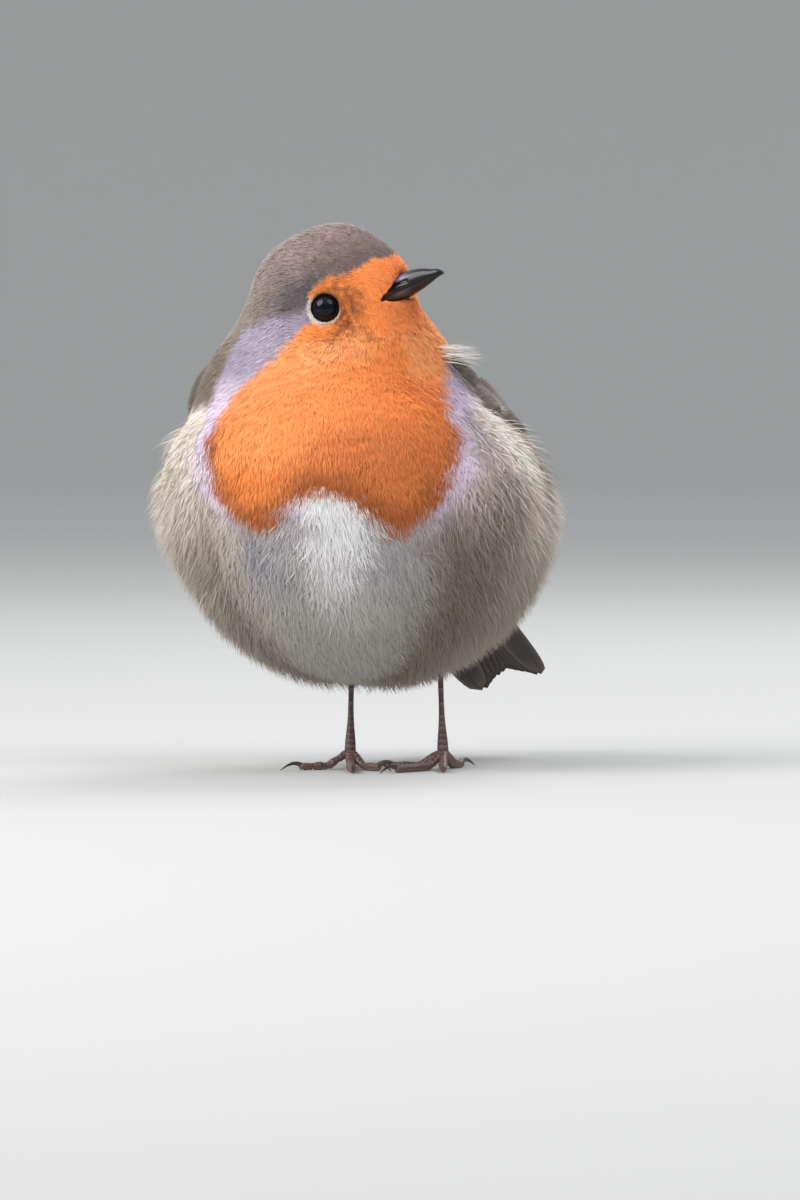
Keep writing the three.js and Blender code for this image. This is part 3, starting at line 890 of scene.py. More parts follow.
# %% Plant a tuft on each root
def planted(nodes, given):
    seed = [given["Seed"]] + [nodes.math("ADD", given["Seed"], i) for i in range(1, 5)]
    roots = nodes.add("GeometryNodeDistributePointsOnFaces",
                      {"Mesh": given["Geometry"], "Distance Min": given["Spacing"], "Density Max": 1e8,
                       "Density Factor": nodes.layer(given["Share"]), "Seed": seed[0]},
                      distribute_method="POISSON")["Points"]
    upright = nodes.add("FunctionNodeAlignRotationToVector",
                        {"Vector": nodes.layer("out", "FLOAT_VECTOR")}, axis="Z")[0]
    combed = nodes.add("FunctionNodeAlignRotationToVector",
                       {"Rotation": upright, "Vector": nodes.layer("lie", "FLOAT_VECTOR")},
                       axis="Y", pivot_axis="Z")[0]
    angle = nodes.math("MULTIPLY", nodes.chance(-1.0, 1.0, seed[1]), given["Sway"])
    sway = nodes.add("FunctionNodeAxisAngleToRotation", {"Axis": (0, 0, 1), "Angle": angle})[0]
    turned = nodes.add("FunctionNodeRotateRotation", {"Rotation": combed, "Rotate By": sway},
                       rotation_space="LOCAL")[0]
    reach = nodes.math("MULTIPLY", nodes.math("MULTIPLY", nodes.layer("length"), given["Stretch"]),
                       nodes.chance(0.8, 1.2, seed[2]))
    size = nodes.add("ShaderNodeCombineXYZ",
                     {0: nodes.math("MULTIPLY", reach, given["Width"]), 1: reach, 2: reach})[0]
    marked = nodes.store(nodes.store(roots, "tuft", nodes.chance(0.0, 1.0, seed[3])), "reach", reach)
    pile = nodes.add("GeometryNodeCollectionInfo",
                     {"Collection": given["Tufts"], "Separate Children": True, "Reset Children": True})[0]
    instances = nodes.add("GeometryNodeInstanceOnPoints",
                          {"Points": marked, "Instance": pile, "Pick Instance": True,
                           "Instance Index": nodes.chance(0, 99, seed[4], "INT"),
                           "Rotation": turned, "Scale": size})[0]
    return nodes.add("GeometryNodeRealizeInstances", {"Geometry": instances})[0]


# %% Bend every blade over the skin
PATCH = 0.003  # side of a tuft's patch on the map


def bent(nodes, given, tufts):
    """Blades as they lie over the skin. They rise fast at the root, and a few stand out as bristles."""
    here = nodes.add("GeometryNodeInputPosition")[0]

    def on_skin(what, kind="FLOAT_VECTOR"):
        return nodes.add("GeometryNodeSampleNearestSurface",
                         {"Mesh": given["Geometry"], "Value": what, "Sample Position": here},
                         data_type=kind)["Value"]

    def times(a, b):
        return nodes.math("MULTIPLY", a, b)

    along = nodes.layer("along")
    out = on_skin(nodes.layer("out", "FLOAT_VECTOR"))
    rise = nodes.math("SUBTRACT", 1.0, nodes.math("POWER", nodes.math("SUBTRACT", 1.0, along), 1.7))
    room = times(rise, on_skin(nodes.layer("loft"), "FLOAT"))
    height = times(room, nodes.math("ADD", given["Rise"], times(nodes.layer("tuft"), 0.14)))
    wild = times(nodes.math("POWER", nodes.layer("chance"), 4.0), times(along, along))
    height = nodes.math("ADD", height, times(wild, given["Bristle"]))
    height = nodes.math("ADD", height, times(nodes.layer("lift"), nodes.layer("reach")))
    lifted = nodes.vector("SCALE", {0: out, "Scale": height})
    place = nodes.vector("ADD", {0: on_skin(nodes.add("GeometryNodeInputPosition")[0]), 1: lifted})
    return nodes.add("GeometryNodeSetPosition",
                     {"Geometry": nodes.store(tufts, "soft", out, "FLOAT_VECTOR"), "Position": place})[0]


# %% The whole tree
def grow_tree():
    tree = bpy.data.node_groups.new("plumage", "GeometryNodeTree")
    sockets = {"Geometry": "Geometry", "Tufts": "Collection", "Share": "String", "Seed": "Int",
               "Material": "Material"}
    sockets.update(dict.fromkeys(("Spacing", "Stretch", "Width", "Sway", "Rise", "Bristle"), "Float"))
    for name, kind in sockets.items():
        tree.interface.new_socket(name, in_out="INPUT", socket_type="NodeSocket" + kind)
    tree.interface.new_socket("Geometry", in_out="OUTPUT", socket_type="NodeSocketGeometry")
    nodes = Nodes(tree)
    given = nodes.add("NodeGroupInput")
    blades = bent(nodes, given, planted(nodes, given))
    corner = nodes.vector("SUBTRACT", {0: nodes.layer("patch", "FLOAT_VECTOR"), 1: (0.5, 0.5, 0)})
    spot = nodes.vector("ADD", {0: nodes.layer("unwrap", "FLOAT_VECTOR"),
                                1: nodes.vector("SCALE", {0: corner, "Scale": PATCH})})
    mapped = nodes.store(blades, "OFBake", spot, "FLOAT2", "CORNER")
    dressed = nodes.add("GeometryNodeSetMaterial", {"Geometry": mapped, "Material": given["Material"]})[0]
    nodes.add("NodeGroupOutput", {0: dressed})
    return tree


# %% [markdown]
# ## The coat, region by region
#
# Each region has a share map on the skin, 0 to 1, and the shares fade into each other, so that no line
# shows where one kind of tuft ends. Small fine tufts cover the face, sleek ones the cap and breast, and
# long downy ones the belly and flanks.

# %% Share maps
def shares():
    speckle = wobble(skin_points, 1.5, 9)
    small = ramp(2.35, 1.85, length + 0.25 * speckle)
    on_horn = (bill_distance(marks["head"]) < 0.2) * (past_feathers(marks["head"]) > 0.25)
    open_air = (1 - hidden) * ramp(27, 22, into(TAIL, skin_points)[:, 1])
    around, height = np.abs(marks["round"]), marks["height"]
    middling = (1 - small) * ramp(20.5, 16.5, np.linalg.norm(marks["head"], axis=1) + speckle)
    rest = (1 - small) * (1 - middling)
    behind = ramp(92, 108, around + 4 * speckle) * rest
    front = rest * (1 - behind) * np.maximum(marks["bib"], ramp(53, 60, height + speckle))
    loose = np.clip(rest - behind - front, 0, 1)
    left = ramp(-1.5, 1.5, skin_points[:, 0] + 1 + speckle)
    middle = ramp(50, 42, around + 3 * speckle) * open_air
    flank = loose * (1 - middle) * open_air
    return {"face": small * (1 - on_horn), "cap": middling, "back": behind * open_air,
            "breast_left": front * left * open_air, "breast_right": front * (1 - left) * open_air,
            "belly": loose * middle, "flank_left": flank * left, "flank_right": flank * (1 - left),
            "belly_locks": loose * middle * ramp(60, 50, height + 3 * speckle),
            "flank_locks": flank * ramp(20, 45, around)}


put(skin.data, **{"on_" + name: np.clip(share, 0, 1) for name, share in shares().items()})

# %% What grows in each region
BREAST = ("sleek", 0.47, 1.0, 0.85, 12, 0.86, 0.4, 0.16, 0.03, 0.16)
FLANK = ("downy", 0.56, 1.0, 0.9, 14, 0.88, 3.0, 0.14, 0.12, 0.14)
REGIONS = {  # tuft, spacing mm, stretch, width, sway in degrees, rise, bristle mm, streaks, pale tips, clumps
    "face": ("fine", 0.27, 1.0, 0.9, 13, 0.82, 0.10, 0.22, 0.0, 0.16),
    "cap": ("sleek", 0.48, 1.0, 0.9, 15, 0.82, 0.3, 0.62, 0.16, 0.46),
    "breast_left": BREAST,
    "breast_right": BREAST,
    "belly": ("downy", 0.56, 1.0, 0.9, 22, 0.86, 1.2, 0.12, 0.10, 0.16),
    "flank_left": FLANK,
    "flank_right": FLANK,
    "back": ("sleek", 0.92, 1.15, 1.0, 10, 0.88, 0.5, 0.25, 0.06, 0.2),
    "belly_locks": ("lock", 1.3, 1.4, 1.3, 24, 0.90, 0.6, 0.06, 0.02, 0.22),
    "flank_locks": ("lock", 1.6, 1.35, 1.2, 16, 0.92, 2.8, 0.08, 0.12, 0.20),
}
WING_TUFTS = ("sleek", 0.62, 1.0, 0.95, 12, 0.86, 0.7, 0.2, 0.06, 0.16)
TAIL_ROOT_TUFTS = ("sleek", 0.75, 1.0, 1.0, 8, 0.84, 0.5, 0.2, 0.08, 0.14)
PALE_TIP = paint(226, 216, 204)

# %% Grow the coat
tree = grow_tree()
numbered = {item.name: item.identifier for item in tree.interface.items_tree if item.in_out == "INPUT"}


def column(mesh, name, width=1):
    values = np.zeros(len(mesh.attributes[name].data) * width, np.float32)
    mesh.attributes[name].data.foreach_get({1: "value", 3: "vector", 4: "color"}[width], values)
    return values.reshape(-1, width) if width > 1 else values


def soften(mesh, share=0.8):
    """Turns each blade's shading normal most of the way towards the outside of the bird."""
    own = np.zeros(len(mesh.vertices) * 3, np.float32)
    mesh.vertex_normals.foreach_get("vector", own)
    own, out = own.reshape(-1, 3), column(mesh, "soft", 3)
    own *= np.where(np.sum(own * out, 1, keepdims=True) < 0, -1, 1)
    mesh.normals_split_custom_set_from_vertices(unit(out * share + own * (1 - share)))


def grow(name, seed, settings, base, region=None):
    """Grows one region of the coat on a base mesh that carries the layers which the machine asks for."""
    kind, spacing, stretch, width, sway, rise, bristle, streaks, pale_tips, clumps = settings
    grower = link(bpy.data.objects.new("coat_" + name, base))
    modifier = grower.modifiers.new("plumage", "NODES")
    modifier.node_group = tree
    given = {"Tufts": tufts[kind], "Share": "on_" + (region or name), "Spacing": spacing * MM, "Seed": seed,
             "Stretch": stretch, "Width": width, "Sway": radians(sway), "Rise": rise,
             "Bristle": bristle * MM, "Material": plumes}
    for key, setting in given.items():
        modifier[numbered[key]] = setting
    graph = bpy.context.evaluated_depsgraph_get()
    mesh = bpy.data.meshes.new_from_object(grower.evaluated_get(graph), depsgraph=graph)
    mesh.name = "coat_" + name
    grower.modifiers.clear()
    grower.data = mesh
    soften(mesh)
    along, chance, tuft = (column(mesh, layer) for layer in ("along", "chance", "tuft"))
    # Painted shade: each blade is painted darker at its root, deep in the coat, and lighter towards its tip;
    # streaks and clumps vary its tone at random.
    light = (0.92 + 0.11 * ramp(0, 0.7, along)) * (1 + streaks * (chance - 0.5)) * (1 + clumps * (tuft - 0.5))
    colour = mix(column(mesh, "plume", 4)[:, :3], (PALE_TIP, pale_tips * ramp(0.55, 1, along) * chance))
    for layer in [a.name for a in mesh.attributes if not a.is_required]:
        if layer not in ("OFBake", "custom_normal", "sharp_face", "material_index"):
            mesh.attributes.remove(mesh.attributes[layer])
    put(mesh, coat=colour * light[:, None])
    hand_over(grower, "grey_plumage")


for i, (name, settings) in enumerate(REGIONS.items()):
    grow(name, 11 + 7 * i, settings, skin.data)

# %% [markdown]
# ## The eyes
#
# A robin's eye is large and almost black, with a dark brown iris. The ball is a sphere that bulges a
# little more at the cornea, with a glossy surface. A thin dark lid hugs it, and round the lid stands a ring
# of tiny feathers, cream behind and below the eye and buff in front of it and above.

# %% Faces of a grid, and a profile turned round an axis
def circle(steps):
    return np.linspace(0, 2 * pi, steps + 1)[:-1]


def grid_faces(rows, columns, tube=True, ring=False, capped=False):
    """Faces between the points of a grid. A tube's last column meets its first, a ring's last row too."""
    faces = [[j * columns + i, j * columns + (i + 1) % columns, (j + 1) % rows * columns + (i + 1) % columns,
              (j + 1) % rows * columns + i]
             for j in range(rows if ring else rows - 1) for i in range(columns if tube else columns - 1)]
    if capped:
        faces += [list(range(columns))[::-1], [(rows - 1) * columns + i for i in range(columns)]]
    return faces


def turned(along, radial, steps):
    """The points of a profile turned round the X axis."""
    j, angle = grid(range(len(along)), circle(steps))
    return np.column_stack([along[j], radial[j] * np.cos(angle), radial[j] * np.sin(angle)])


def eye_frame(side):
    """Axes with X along the way the eye looks, Z as nearly up as that allows."""
    x = eye_axis(side)
    y = unit(np.cross(HEAD[1][:, 2], x))
    return eye_centre(side), np.column_stack([x, y, np.cross(x, y)])


# %% Eyeballs
eye_gloss = material("eye_surface", 0.03, IOR=1.31)
tilt = np.linspace(0, 180, 49)
reach = EYE["radius"] - 0.12 + 0.28 * np.exp(-(tilt / 34) ** 4)
ball_shape = turned(reach * np.cos(np.radians(tilt)), reach * np.sin(np.radians(tilt)) + 1e-4, 56)
from_axis = np.degrees(np.arctan2(np.hypot(ball_shape[:, 1], ball_shape[:, 2]), ball_shape[:, 0]))
iris = mix((8, 7, 10), ((8, 9, 20), ramp(34, 29, from_axis)), ((8, 8, 12), ramp(42, 50, from_axis)))
for side in SIDES:
    piece("eyeball_" + side, out_of(eye_frame(side), ball_shape), grid_faces(49, 56), "eye", eye_gloss,
          "eye_" + side, coat=iris)

# %% The ring of tiny feathers
RING_FEATHERS = 330
HALF_WIDTH = 0.055


def eye_ring(side):
    ring = Pile()
    dice = np.random.default_rng(70 + SIDES[side])
    for i in range(RING_FEATHERS):
        a = 2 * pi * (i + dice.random()) / RING_FEATHERS
        level, sidestep = np.array([0, cos(a), sin(a)]), np.array([0, -sin(a), cos(a)])
        _, ahead, below = -(HEAD[1].T @ (eye_frame(side)[1] @ level))  # 1 in front of or below the eye
        cream = np.clip(max(ramp(0.0, -0.8, ahead), 0.7 * ramp(0.3, 0.9, below)), 0, 1)
        behind = ramp(-0.3, -0.9, ahead)
        start = 2.70 + 0.2 * dice.random()
        reach = (0.26 + 0.12 * cream + 0.40 * behind) * dice.uniform(0.6, 1.4)
        lean = dice.normal(0.0, 0.2)
        base = level * start + np.array([2.46 + 0.12 * dice.random(), 0, 0])
        tip = level * (start + reach) + sidestep * lean + np.array([2.62 + 0.34 * reach, 0, 0])
        middle = (base + tip) / 2 + np.array([0.14, 0, 0])
        points, faces, along, hand = blade([base, middle, tip], np.outer([1, 0.9, 0], sidestep * HALF_WIDTH))
        tone = mix((186, 112, 60), ((238, 214, 184), cream), ((236, 226, 222), behind))
        ring.add(out_of(eye_frame(side), points), faces, coat=[tone * dice.uniform(0.7, 1.05)] * len(points),
                 OFBake=np.column_stack([0.1 + 0.8 * i / RING_FEATHERS + 0.002 * hand, 0.4 + 0.2 * along]))
    ring.piece("eye_ring_" + side, "orange_plumage", plumes)


# %% Lids, each with its ring
lid_skin = material("lid", 0.5)
lid_shape = turned(2.38 + 0.18 * np.sin(circle(10)), 2.68 + 0.13 * np.cos(circle(10)), 72)
lid_shape[:, 1:] *= (1 + 0.012 * np.sin(5 * np.arctan2(lid_shape[:, 2], lid_shape[:, 1]) + 1))[:, None]
for side in SIDES:
    piece("lid_" + side, out_of(eye_frame(side), lid_shape), grid_faces(10, 72, ring=True),
          "grey_plumage", lid_skin, coat=paint(22, 18, 22))
    eye_ring(side)

# %% [markdown]
# ## The bill
#
# Each half is one closed shape, lofted from sections taken from the bill's tables. The nostril is a slit
# under a soft lilac flap, pressed into the fine mesh and painted in the same step, so that paint and
# shape agree. The horn is nearly black with a painted highlight along the ridge, and greyer at the root.

# %% Sections of one half
ACROSS, ALONG = 40, 90
NOSTRIL = {"from": 16.9, "to": 19.3, "height": -1.55, "half": 0.34}
PALATE = 0.25  # mm from the edge to the roof or the floor of the mouth


def half_bill(above):
    """Points of one half in the head's frame: a dome across, closed by a flat roof or floor of the mouth."""
    forwards = BILL_FROM + (BILL_TO - BILL_FROM) * (np.linspace(0, 1, ALONG) ** 0.9)
    width = curve(BILL["half_width"], forwards) * (1 if above else 0.93)
    edge = curve(BILL["edge"], forwards) - (0.05 if above else 0.02)
    rim = curve(BILL["ridge" if above else "keel"], forwards)
    angle = np.linspace(0, pi, ACROSS)
    points = []
    for y, w, e, r in zip(forwards, width, edge, rim):
        x = w * np.sign(np.cos(angle)) * np.abs(np.cos(angle)) ** (0.92 if y > 20 else 1.0)
        points += list(np.column_stack([x, 0 * x - y, e + (r - e) * np.abs(np.sin(angle)) ** 0.95]))
        points.append(np.array([0, -y, e + (PALATE if above else -PALATE) * min(w, 1)]))
    return np.array(points)


def nostril(points):
    """Shares of the slit and of the flap over it."""
    x, y, z = points.T
    ahead = -y
    along_slit = np.clip((ahead - NOSTRIL["from"]) / (NOSTRIL["to"] - NOSTRIL["from"]), 0, 1)
    centre = NOSTRIL["height"] - 0.35 * (along_slit - 0.5)
    off = np.abs(z - centre) / NOSTRIL["half"]
    beyond = np.maximum(np.maximum(NOSTRIL["from"] - ahead, ahead - NOSTRIL["to"]), 0) / 0.5
    slit = np.clip(1 - off**2 - beyond**2, 0, 1) * (np.abs(x) > 0.8)
    flap = np.clip(1 - ((z - centre - 0.75) / 0.62) ** 2, 0, 1) * (np.abs(x) > 0.7)
    return slit, flap * ramp(16.2, 17.4, ahead) * ramp(20.6, 18.6, ahead)


# %% Both halves
horn = material("horn", 0.24, Specular_IOR_Level=0.36)
for name, node, above in (("bill_above", "bill_upper", True), ("bill_below", "bill_lower", False)):
    points = half_bill(above)
    faces = grid_faces(ALONG, ACROSS + 1, capped=True)
    _, y, z = points.T
    ahead = -y
    if above:
        slit, flap = nostril(points)
        points[:, 0] *= 1 - 0.2 * slit + 0.07 * flap
        # A painted highlight: the upper part of this half, along the ridge, is painted paler.
        tone = mix((20, 20, 25), ((66, 64, 78), ramp(-1.6, 0.2, z - 0.1 * (ahead - 18))),
                   ((74, 60, 62), ramp(17.2, 14.6, ahead)), ((134, 118, 158), 0.85 * flap),
                   ((10, 8, 9), ramp(0.1, 0.5, slit)), ((70, 36, 30), ramp(15.4, 13.4, ahead)))
    else:
        faces = [face[::-1] for face in faces]
        tone = mix((24, 23, 27), ((78, 71, 75), ramp(20.6, 17.0, ahead) * ramp(-4.6, -3.4, z)),
                   ((92, 73, 70), 0.7 * ramp(17.0, 14.6, ahead)))
    grain = 1 + 0.10 * wobble(points, 0.5, 12) + 0.06 * wobble(points * [1, 0.3, 1], 0.25, 13)
    piece(name, out_of(HEAD, points), faces, "horn", horn, node, coat=tone * grain[:, None])

# %% [markdown]
# ## A vane
#
# A flight feather is a thin sheet either side of a shaft. One function makes the sheet: it asks for a
# place on the feather, and cups it slightly along the shaft. Barbs are fine slanting lines in the
# material, since they are far too fine to model. Wings and tail are made of nothing but such vanes.

# %% The material of a vane
def vane_material():
    """Lines across the map named vane tint the colour of the mesh and raise it a little."""
    made = material("vane", 0.6, Specular_IOR_Level=0.35, Sheen_Weight=0.1)
    nodes = Nodes(made.node_tree)
    shader = made.node_tree.nodes["Principled BSDF"]
    colour = shader.inputs["Base Color"].links[0].from_socket
    place = nodes.add("ShaderNodeUVMap", uv_map="vane")["UV"]
    barbs = nodes.add("ShaderNodeTexWave", {"Scale": 6.0, "Distortion": 0.8, "Detail": 1.0, "Vector": place})
    tint = nodes.add("ShaderNodeMapRange", {"Value": barbs[1], "To Min": 0.84, "To Max": 1.12})["Result"]
    raised = nodes.add("ShaderNodeBump", {"Strength": 0.25, "Distance": 0.00008, "Height": tint})["Normal"]
    made.node_tree.links.new(nodes.vector("SCALE", {0: colour, "Scale": tint}), shader.inputs["Base Color"])
    made.node_tree.links.new(raised, shader.inputs["Normal"])
    return made


vane_cover = vane_material()

# %% The shape of a vane
BAKE_COLUMNS = 12  # vanes in each row of their shared map


def vane(pile, place, length, width, tone, edge, stations=14, columns=7, blunt=5.0, shaft=0.0, root=0.55):
    """place(along 0-1, across in mm, cup) gives points. tone and edge are the web's and its rim's colours."""
    s, v = grid(np.linspace(0, 1, stations) ** 0.85, np.linspace(-1, 1, columns))
    profile = (root + (1 - root) * ramp(0, 0.45, s)) * np.clip(1 - s**blunt, 0, 1) ** 0.5
    across = (v + shaft * (1 - v**2)) * width * profile
    web = mix(tone, (edge, ramp(0.55, 1.0, v)),
              (edge, 0.6 * ramp(0.7, 1.0, -v) + 0.6 * ramp(0.88, 1.0, s) * (v * v < 0.9)),
              (tone * 0.55, ramp(0.2, 0.0, np.abs(v)) * 0.8))
    row, column_of = divmod(pile.count, BAKE_COLUMNS)
    pile.add(place(s, across, 0.10 * width * (1 - v**2)), grid_faces(stations, columns, tube=False), coat=web,
             OFBake=np.column_stack([column_of + 0.5 + 0.42 * v, row + 0.05 + 0.9 * s]) / BAKE_COLUMNS,
             vane=np.column_stack([s * length - 0.55 * np.abs(across), v * 0.1]))


# %% [markdown]
# ## The wings
#
# From the back's edge down a folded wing shows the three broad tertials, the edges of the secondaries,
# and the stack of primaries that runs on to the tip. Rows of coverts roof their roots. A plain base
# under them closes the gaps. The tips overlap like tiles, so later rows are laid a little higher.

# %% Rows of feathers on a folded wing
WING_ROWS = [
    # kind, count, root of the first and the last, tip of the first and the last, width and height in mm.
    # Roots and tips are given as the part of the way to the wing's tip, and across.
    ("flight", 8, (0.30, 0.62), (0.30, 0.10), (1.00, 0.05), (0.78, -0.15), 1.9, 0.10),  # primaries
    ("flight", 6, (0.28, 0.45), (0.25, -0.30), (0.80, 0.12), (0.66, -0.55), 2.4, 0.55),  # secondaries
    ("tertial", 3, (0.20, -0.42), (0.16, -0.72), (0.72, -0.45), (0.50, -0.80), 3.3, 1.0),
    ("flight", 6, (0.16, 0.80), (0.18, 0.45), (0.50, 0.72), (0.46, 0.42), 1.8, 0.8),  # primary coverts
    ("covert", 9, (0.10, 0.55), (0.06, -0.72), (0.45, 0.48), (0.38, -0.78), 2.3, 1.2),  # greater coverts
    ("covert", 9, (0.03, 0.62), (0.02, -0.70), (0.27, 0.62), (0.23, -0.74), 2.1, 1.5),  # median coverts
]
WEB = {  # colours of the web and of its edge
    "flight": (paint(70, 62, 57), paint(156, 138, 110)),
    "tertial": (paint(76, 67, 60), paint(150, 133, 108)),
    "covert": (paint(84, 74, 65), paint(146, 130, 106)),
}
WING_LENGTH = 62  # mm along the fold


def wing_feather(pile, side, root, tip, width, height, kind, shade):
    def place(s, across, cup):
        t = root[0] + (tip[0] - root[0]) * s
        w = root[1] + (tip[1] - root[1]) * s + across / curve(WING["half_chord"], np.clip(t, 0, 1))
        thin = np.sqrt(np.clip(1 - np.minimum(np.abs(w), 1) ** 2, 0, 1))
        return wing_surface(side, np.clip(t, 0, 1), w, height * (1 - 0.55 * s) * thin + cup)

    tone, edge = WEB[kind]
    vane(pile, place, (tip[0] - root[0]) * WING_LENGTH, width, tone * shade, edge * shade,
         columns=9, blunt=5.0 if kind == "flight" else 3.5)


def wing_base(side, stations=40, around=24):
    """The plain base: a leaf whose lower face lies under the vanes' own surface."""
    t, angle = grid(np.linspace(0, 0.86, stations), circle(around))
    breadth = np.cos(angle) * np.interp(t, [0, 0.6, 0.86], [0.9, 0.9, 0.25])
    outer = wing_surface(side, t, breadth)
    drop = (1 - np.sin(angle)) * curve(WING["half_thickness"], t) * np.sqrt(1 - breadth**2) + 0.15
    piece("wing_base_" + side, outer - slope_of(plumage, outer) * drop[:, None],
          grid_faces(stations, around, capped=True), "brown_plumage", skin_cover, coat=paint(70, 63, 58))


# %% Lay the feathers
for side in SIDES:
    wing = Pile()
    dice = np.random.default_rng(300 + SIDES[side])
    for kind, count, root0, root1, tip0, tip1, width, height in WING_ROWS:
        for i in range(count):
            f = i / (count - 1)
            root = [a + (b - a) * f for a, b in zip(root0, root1)]
            tip = [a + (b - a) * f + dice.normal(0, 0.006) for a, b in zip(tip0, tip1)]
            wing_feather(wing, side, root, tip, width, height + 0.07 * i, kind, dice.uniform(0.85, 1.1))
    wing.piece("wing_feathers_" + side, "brown_plumage", vane_cover, "wing_" + side)
    wing_base(side)

# %% [markdown]
# ## Soft feathers over the wing
#
# The wrist and the small coverts of a robin are as soft as its body. So each wing gets a thin base of its
# own, on which the same machine grows tufts over the shoulder and along the back's edge. Lower down the
# wing dives under the flank. The tufts' patches on the map are those of the skin just beneath.

# %% Tufts on the wings
LAP = {"upper": (-0.50, -0.80), "shoulder": (0.30, 0.17)}  # where the tufts end, across and along
WING_TUFT_LENGTH = 3.8
skin_tree = tree_of(skin_points)


def beneath(points):
    """The places on the skin's unwrap that lie nearest to the points."""
    return unwrapped[[skin_tree.find(p)[1] for p in points]]


def wing_bed(side, rows=90, columns=44):
    """The wing's outer face as a mesh that carries all that the tufts need."""
    t, across = grid(np.linspace(0, 0.84, rows), np.linspace(-1.0, 1.0, columns))
    points = wing_surface(side, t, across, 0.7 * ramp(0, 0.1, t))
    further_on = wing_surface(side, np.clip(t + 0.03, 0, 1), across)
    lie = unit(further_on - wing_surface(side, t - 0.03 * (t > 0), across))
    coverts = mix((104, 93, 80), ((122, 108, 90), np.clip(wobble(points, 3, 15), 0, 1)))
    shoulder_tone = mix((84, 72, 66), ((124, 110, 101), np.clip(wobble(points, 1.4, 16), 0, 1)))
    plume = mix(coverts, (shoulder_tone, ramp(0.42, 0.22, t)),
                (coat_colour(points + lie * 3), np.clip(ramp(0.10, 0.0, t) * ramp(-0.6, 0.2, across), 0, 1)))
    share = np.maximum(ramp(*LAP["shoulder"], t + 0.10 * np.abs(across)),
                       ramp(*LAP["upper"], across) * ramp(0.62, 0.45, t))
    bed = mesh_object("wing_bed_" + side, (points + SHIFT) * MM, grid_faces(rows, columns, tube=False))
    put(bed.data, on_wing=np.clip(share * ramp(0.3, 0.0, across - curve(SHOWS, t)), 0, 1),
        **growing(slope_of(plumage, points), lie, 1.2 - 0.6 * ramp(0.3, 0.6, t), WING_TUFT_LENGTH, plume,
                  beneath(points)))
    return bed


for side in SIDES:
    bed = wing_bed(side)
    grow("wing_" + side, 90 + SIDES[side], WING_TUFTS, bed.data, "wing")
    bpy.data.objects.remove(bed)

# %% [markdown]
# ## The tail
#
# Twelve feathers, the middle pair on top. They lie almost closed, so from below each outer feather
# covers part of the next one in. The tail is slightly notched, and each tip is rounded on its outside.
# A sleeve of tufts closes the gap between the blunt end of the skin and the thin tail.

# %% Twelve tail feathers
TAIL_STARTS = 8.0  # mm behind the tail's own origin, inside the body
tail = Pile()
dice = np.random.default_rng(410)
for pair in range(5, -1, -1):
    outer = pair / 5
    for hand in (-1, 1):
        reach = TAIL_LENGTH - 3.0 * (1 - outer) - 0.8 * (pair == 5) + dice.normal(0, 0.15) - TAIL_STARTS
        at_root, at_tip = hand * (0.5 + 4.9 * outer), hand * (0.8 + 5.6 * outer)

        def place(s, across, cup):
            lateral = at_root + (at_tip - at_root) * s + across * hand
            crown = 1.6 * (1 - np.clip(lateral / 9.5, -1, 1) ** 2) - 0.14 * pair
            return out_of(TAIL, np.column_stack([-lateral, TAIL_STARTS + reach * s, crown + 0.6 * cup]))

        shade = dice.uniform(0.9, 1.08)
        rim = paint(120, 104, 88) if pair == 5 else paint(74, 67, 60)
        vane(tail, place, reach, 3.5 - 0.35 * outer, paint(47, 42, 40) * shade, rim * shade,
             stations=22, columns=9, blunt=9.0, shaft=0.25 * outer)
tail.piece("tail_feathers", "tail_plumage", vane_cover, "tail")

# %% The sleeve round the root of the tail
SLEEVE = {"width": [(14, 10.4), (20, 10.6), (26, 10.0), (31, 8.6), (35, 7.3), (38, 6.0), (43, 3.5)],
          "height": [(14, 6.6), (20, 6.6), (26, 5.7), (31, 3.8), (35, 2.0), (38, 1.0), (43, 0.4)],
          "loft": [(14, 3.2), (26, 2.8), (38, 0.9), (43, 0.5)]}
STATIONS, AROUND = 50, 64
along, angle = grid(np.linspace(14, 43, STATIONS), circle(AROUND))
width, height = curve(SLEEVE["width"], along), curve(SLEEVE["height"], along)
points = out_of(TAIL, np.column_stack([np.cos(angle) * width, along, 0.8 + np.sin(angle) * height]))
out = unit(np.column_stack([np.cos(angle) / width, 0.03 + 0 * along, np.sin(angle) / height])) @ TAIL[1].T
topside = ramp(-0.5, 0.2, np.sin(angle) + 0.25 * wobble(points, 2.0, 16))
tone = mix((150, 141, 128), ((112, 101, 85), topside))
# The sleeve's skin is painted darker than its tufts, as painted shade under them.
sleeve = piece("tail_sleeve", points, grid_faces(STATIONS, AROUND), "brown_plumage", skin_cover,
               coat=tone * 0.8, on_tail_root=ramp(14, 20, along) * ramp(38.5, 36, along),
               **growing(out, np.tile(TAIL[1] @ np.array([0, 1, 0.02]), (len(along), 1)),
                         curve(SLEEVE["loft"], along), 5.0, tone, beneath(points)))
grow("tail_root", 97, TAIL_ROOT_TUFTS, sleeve.data)
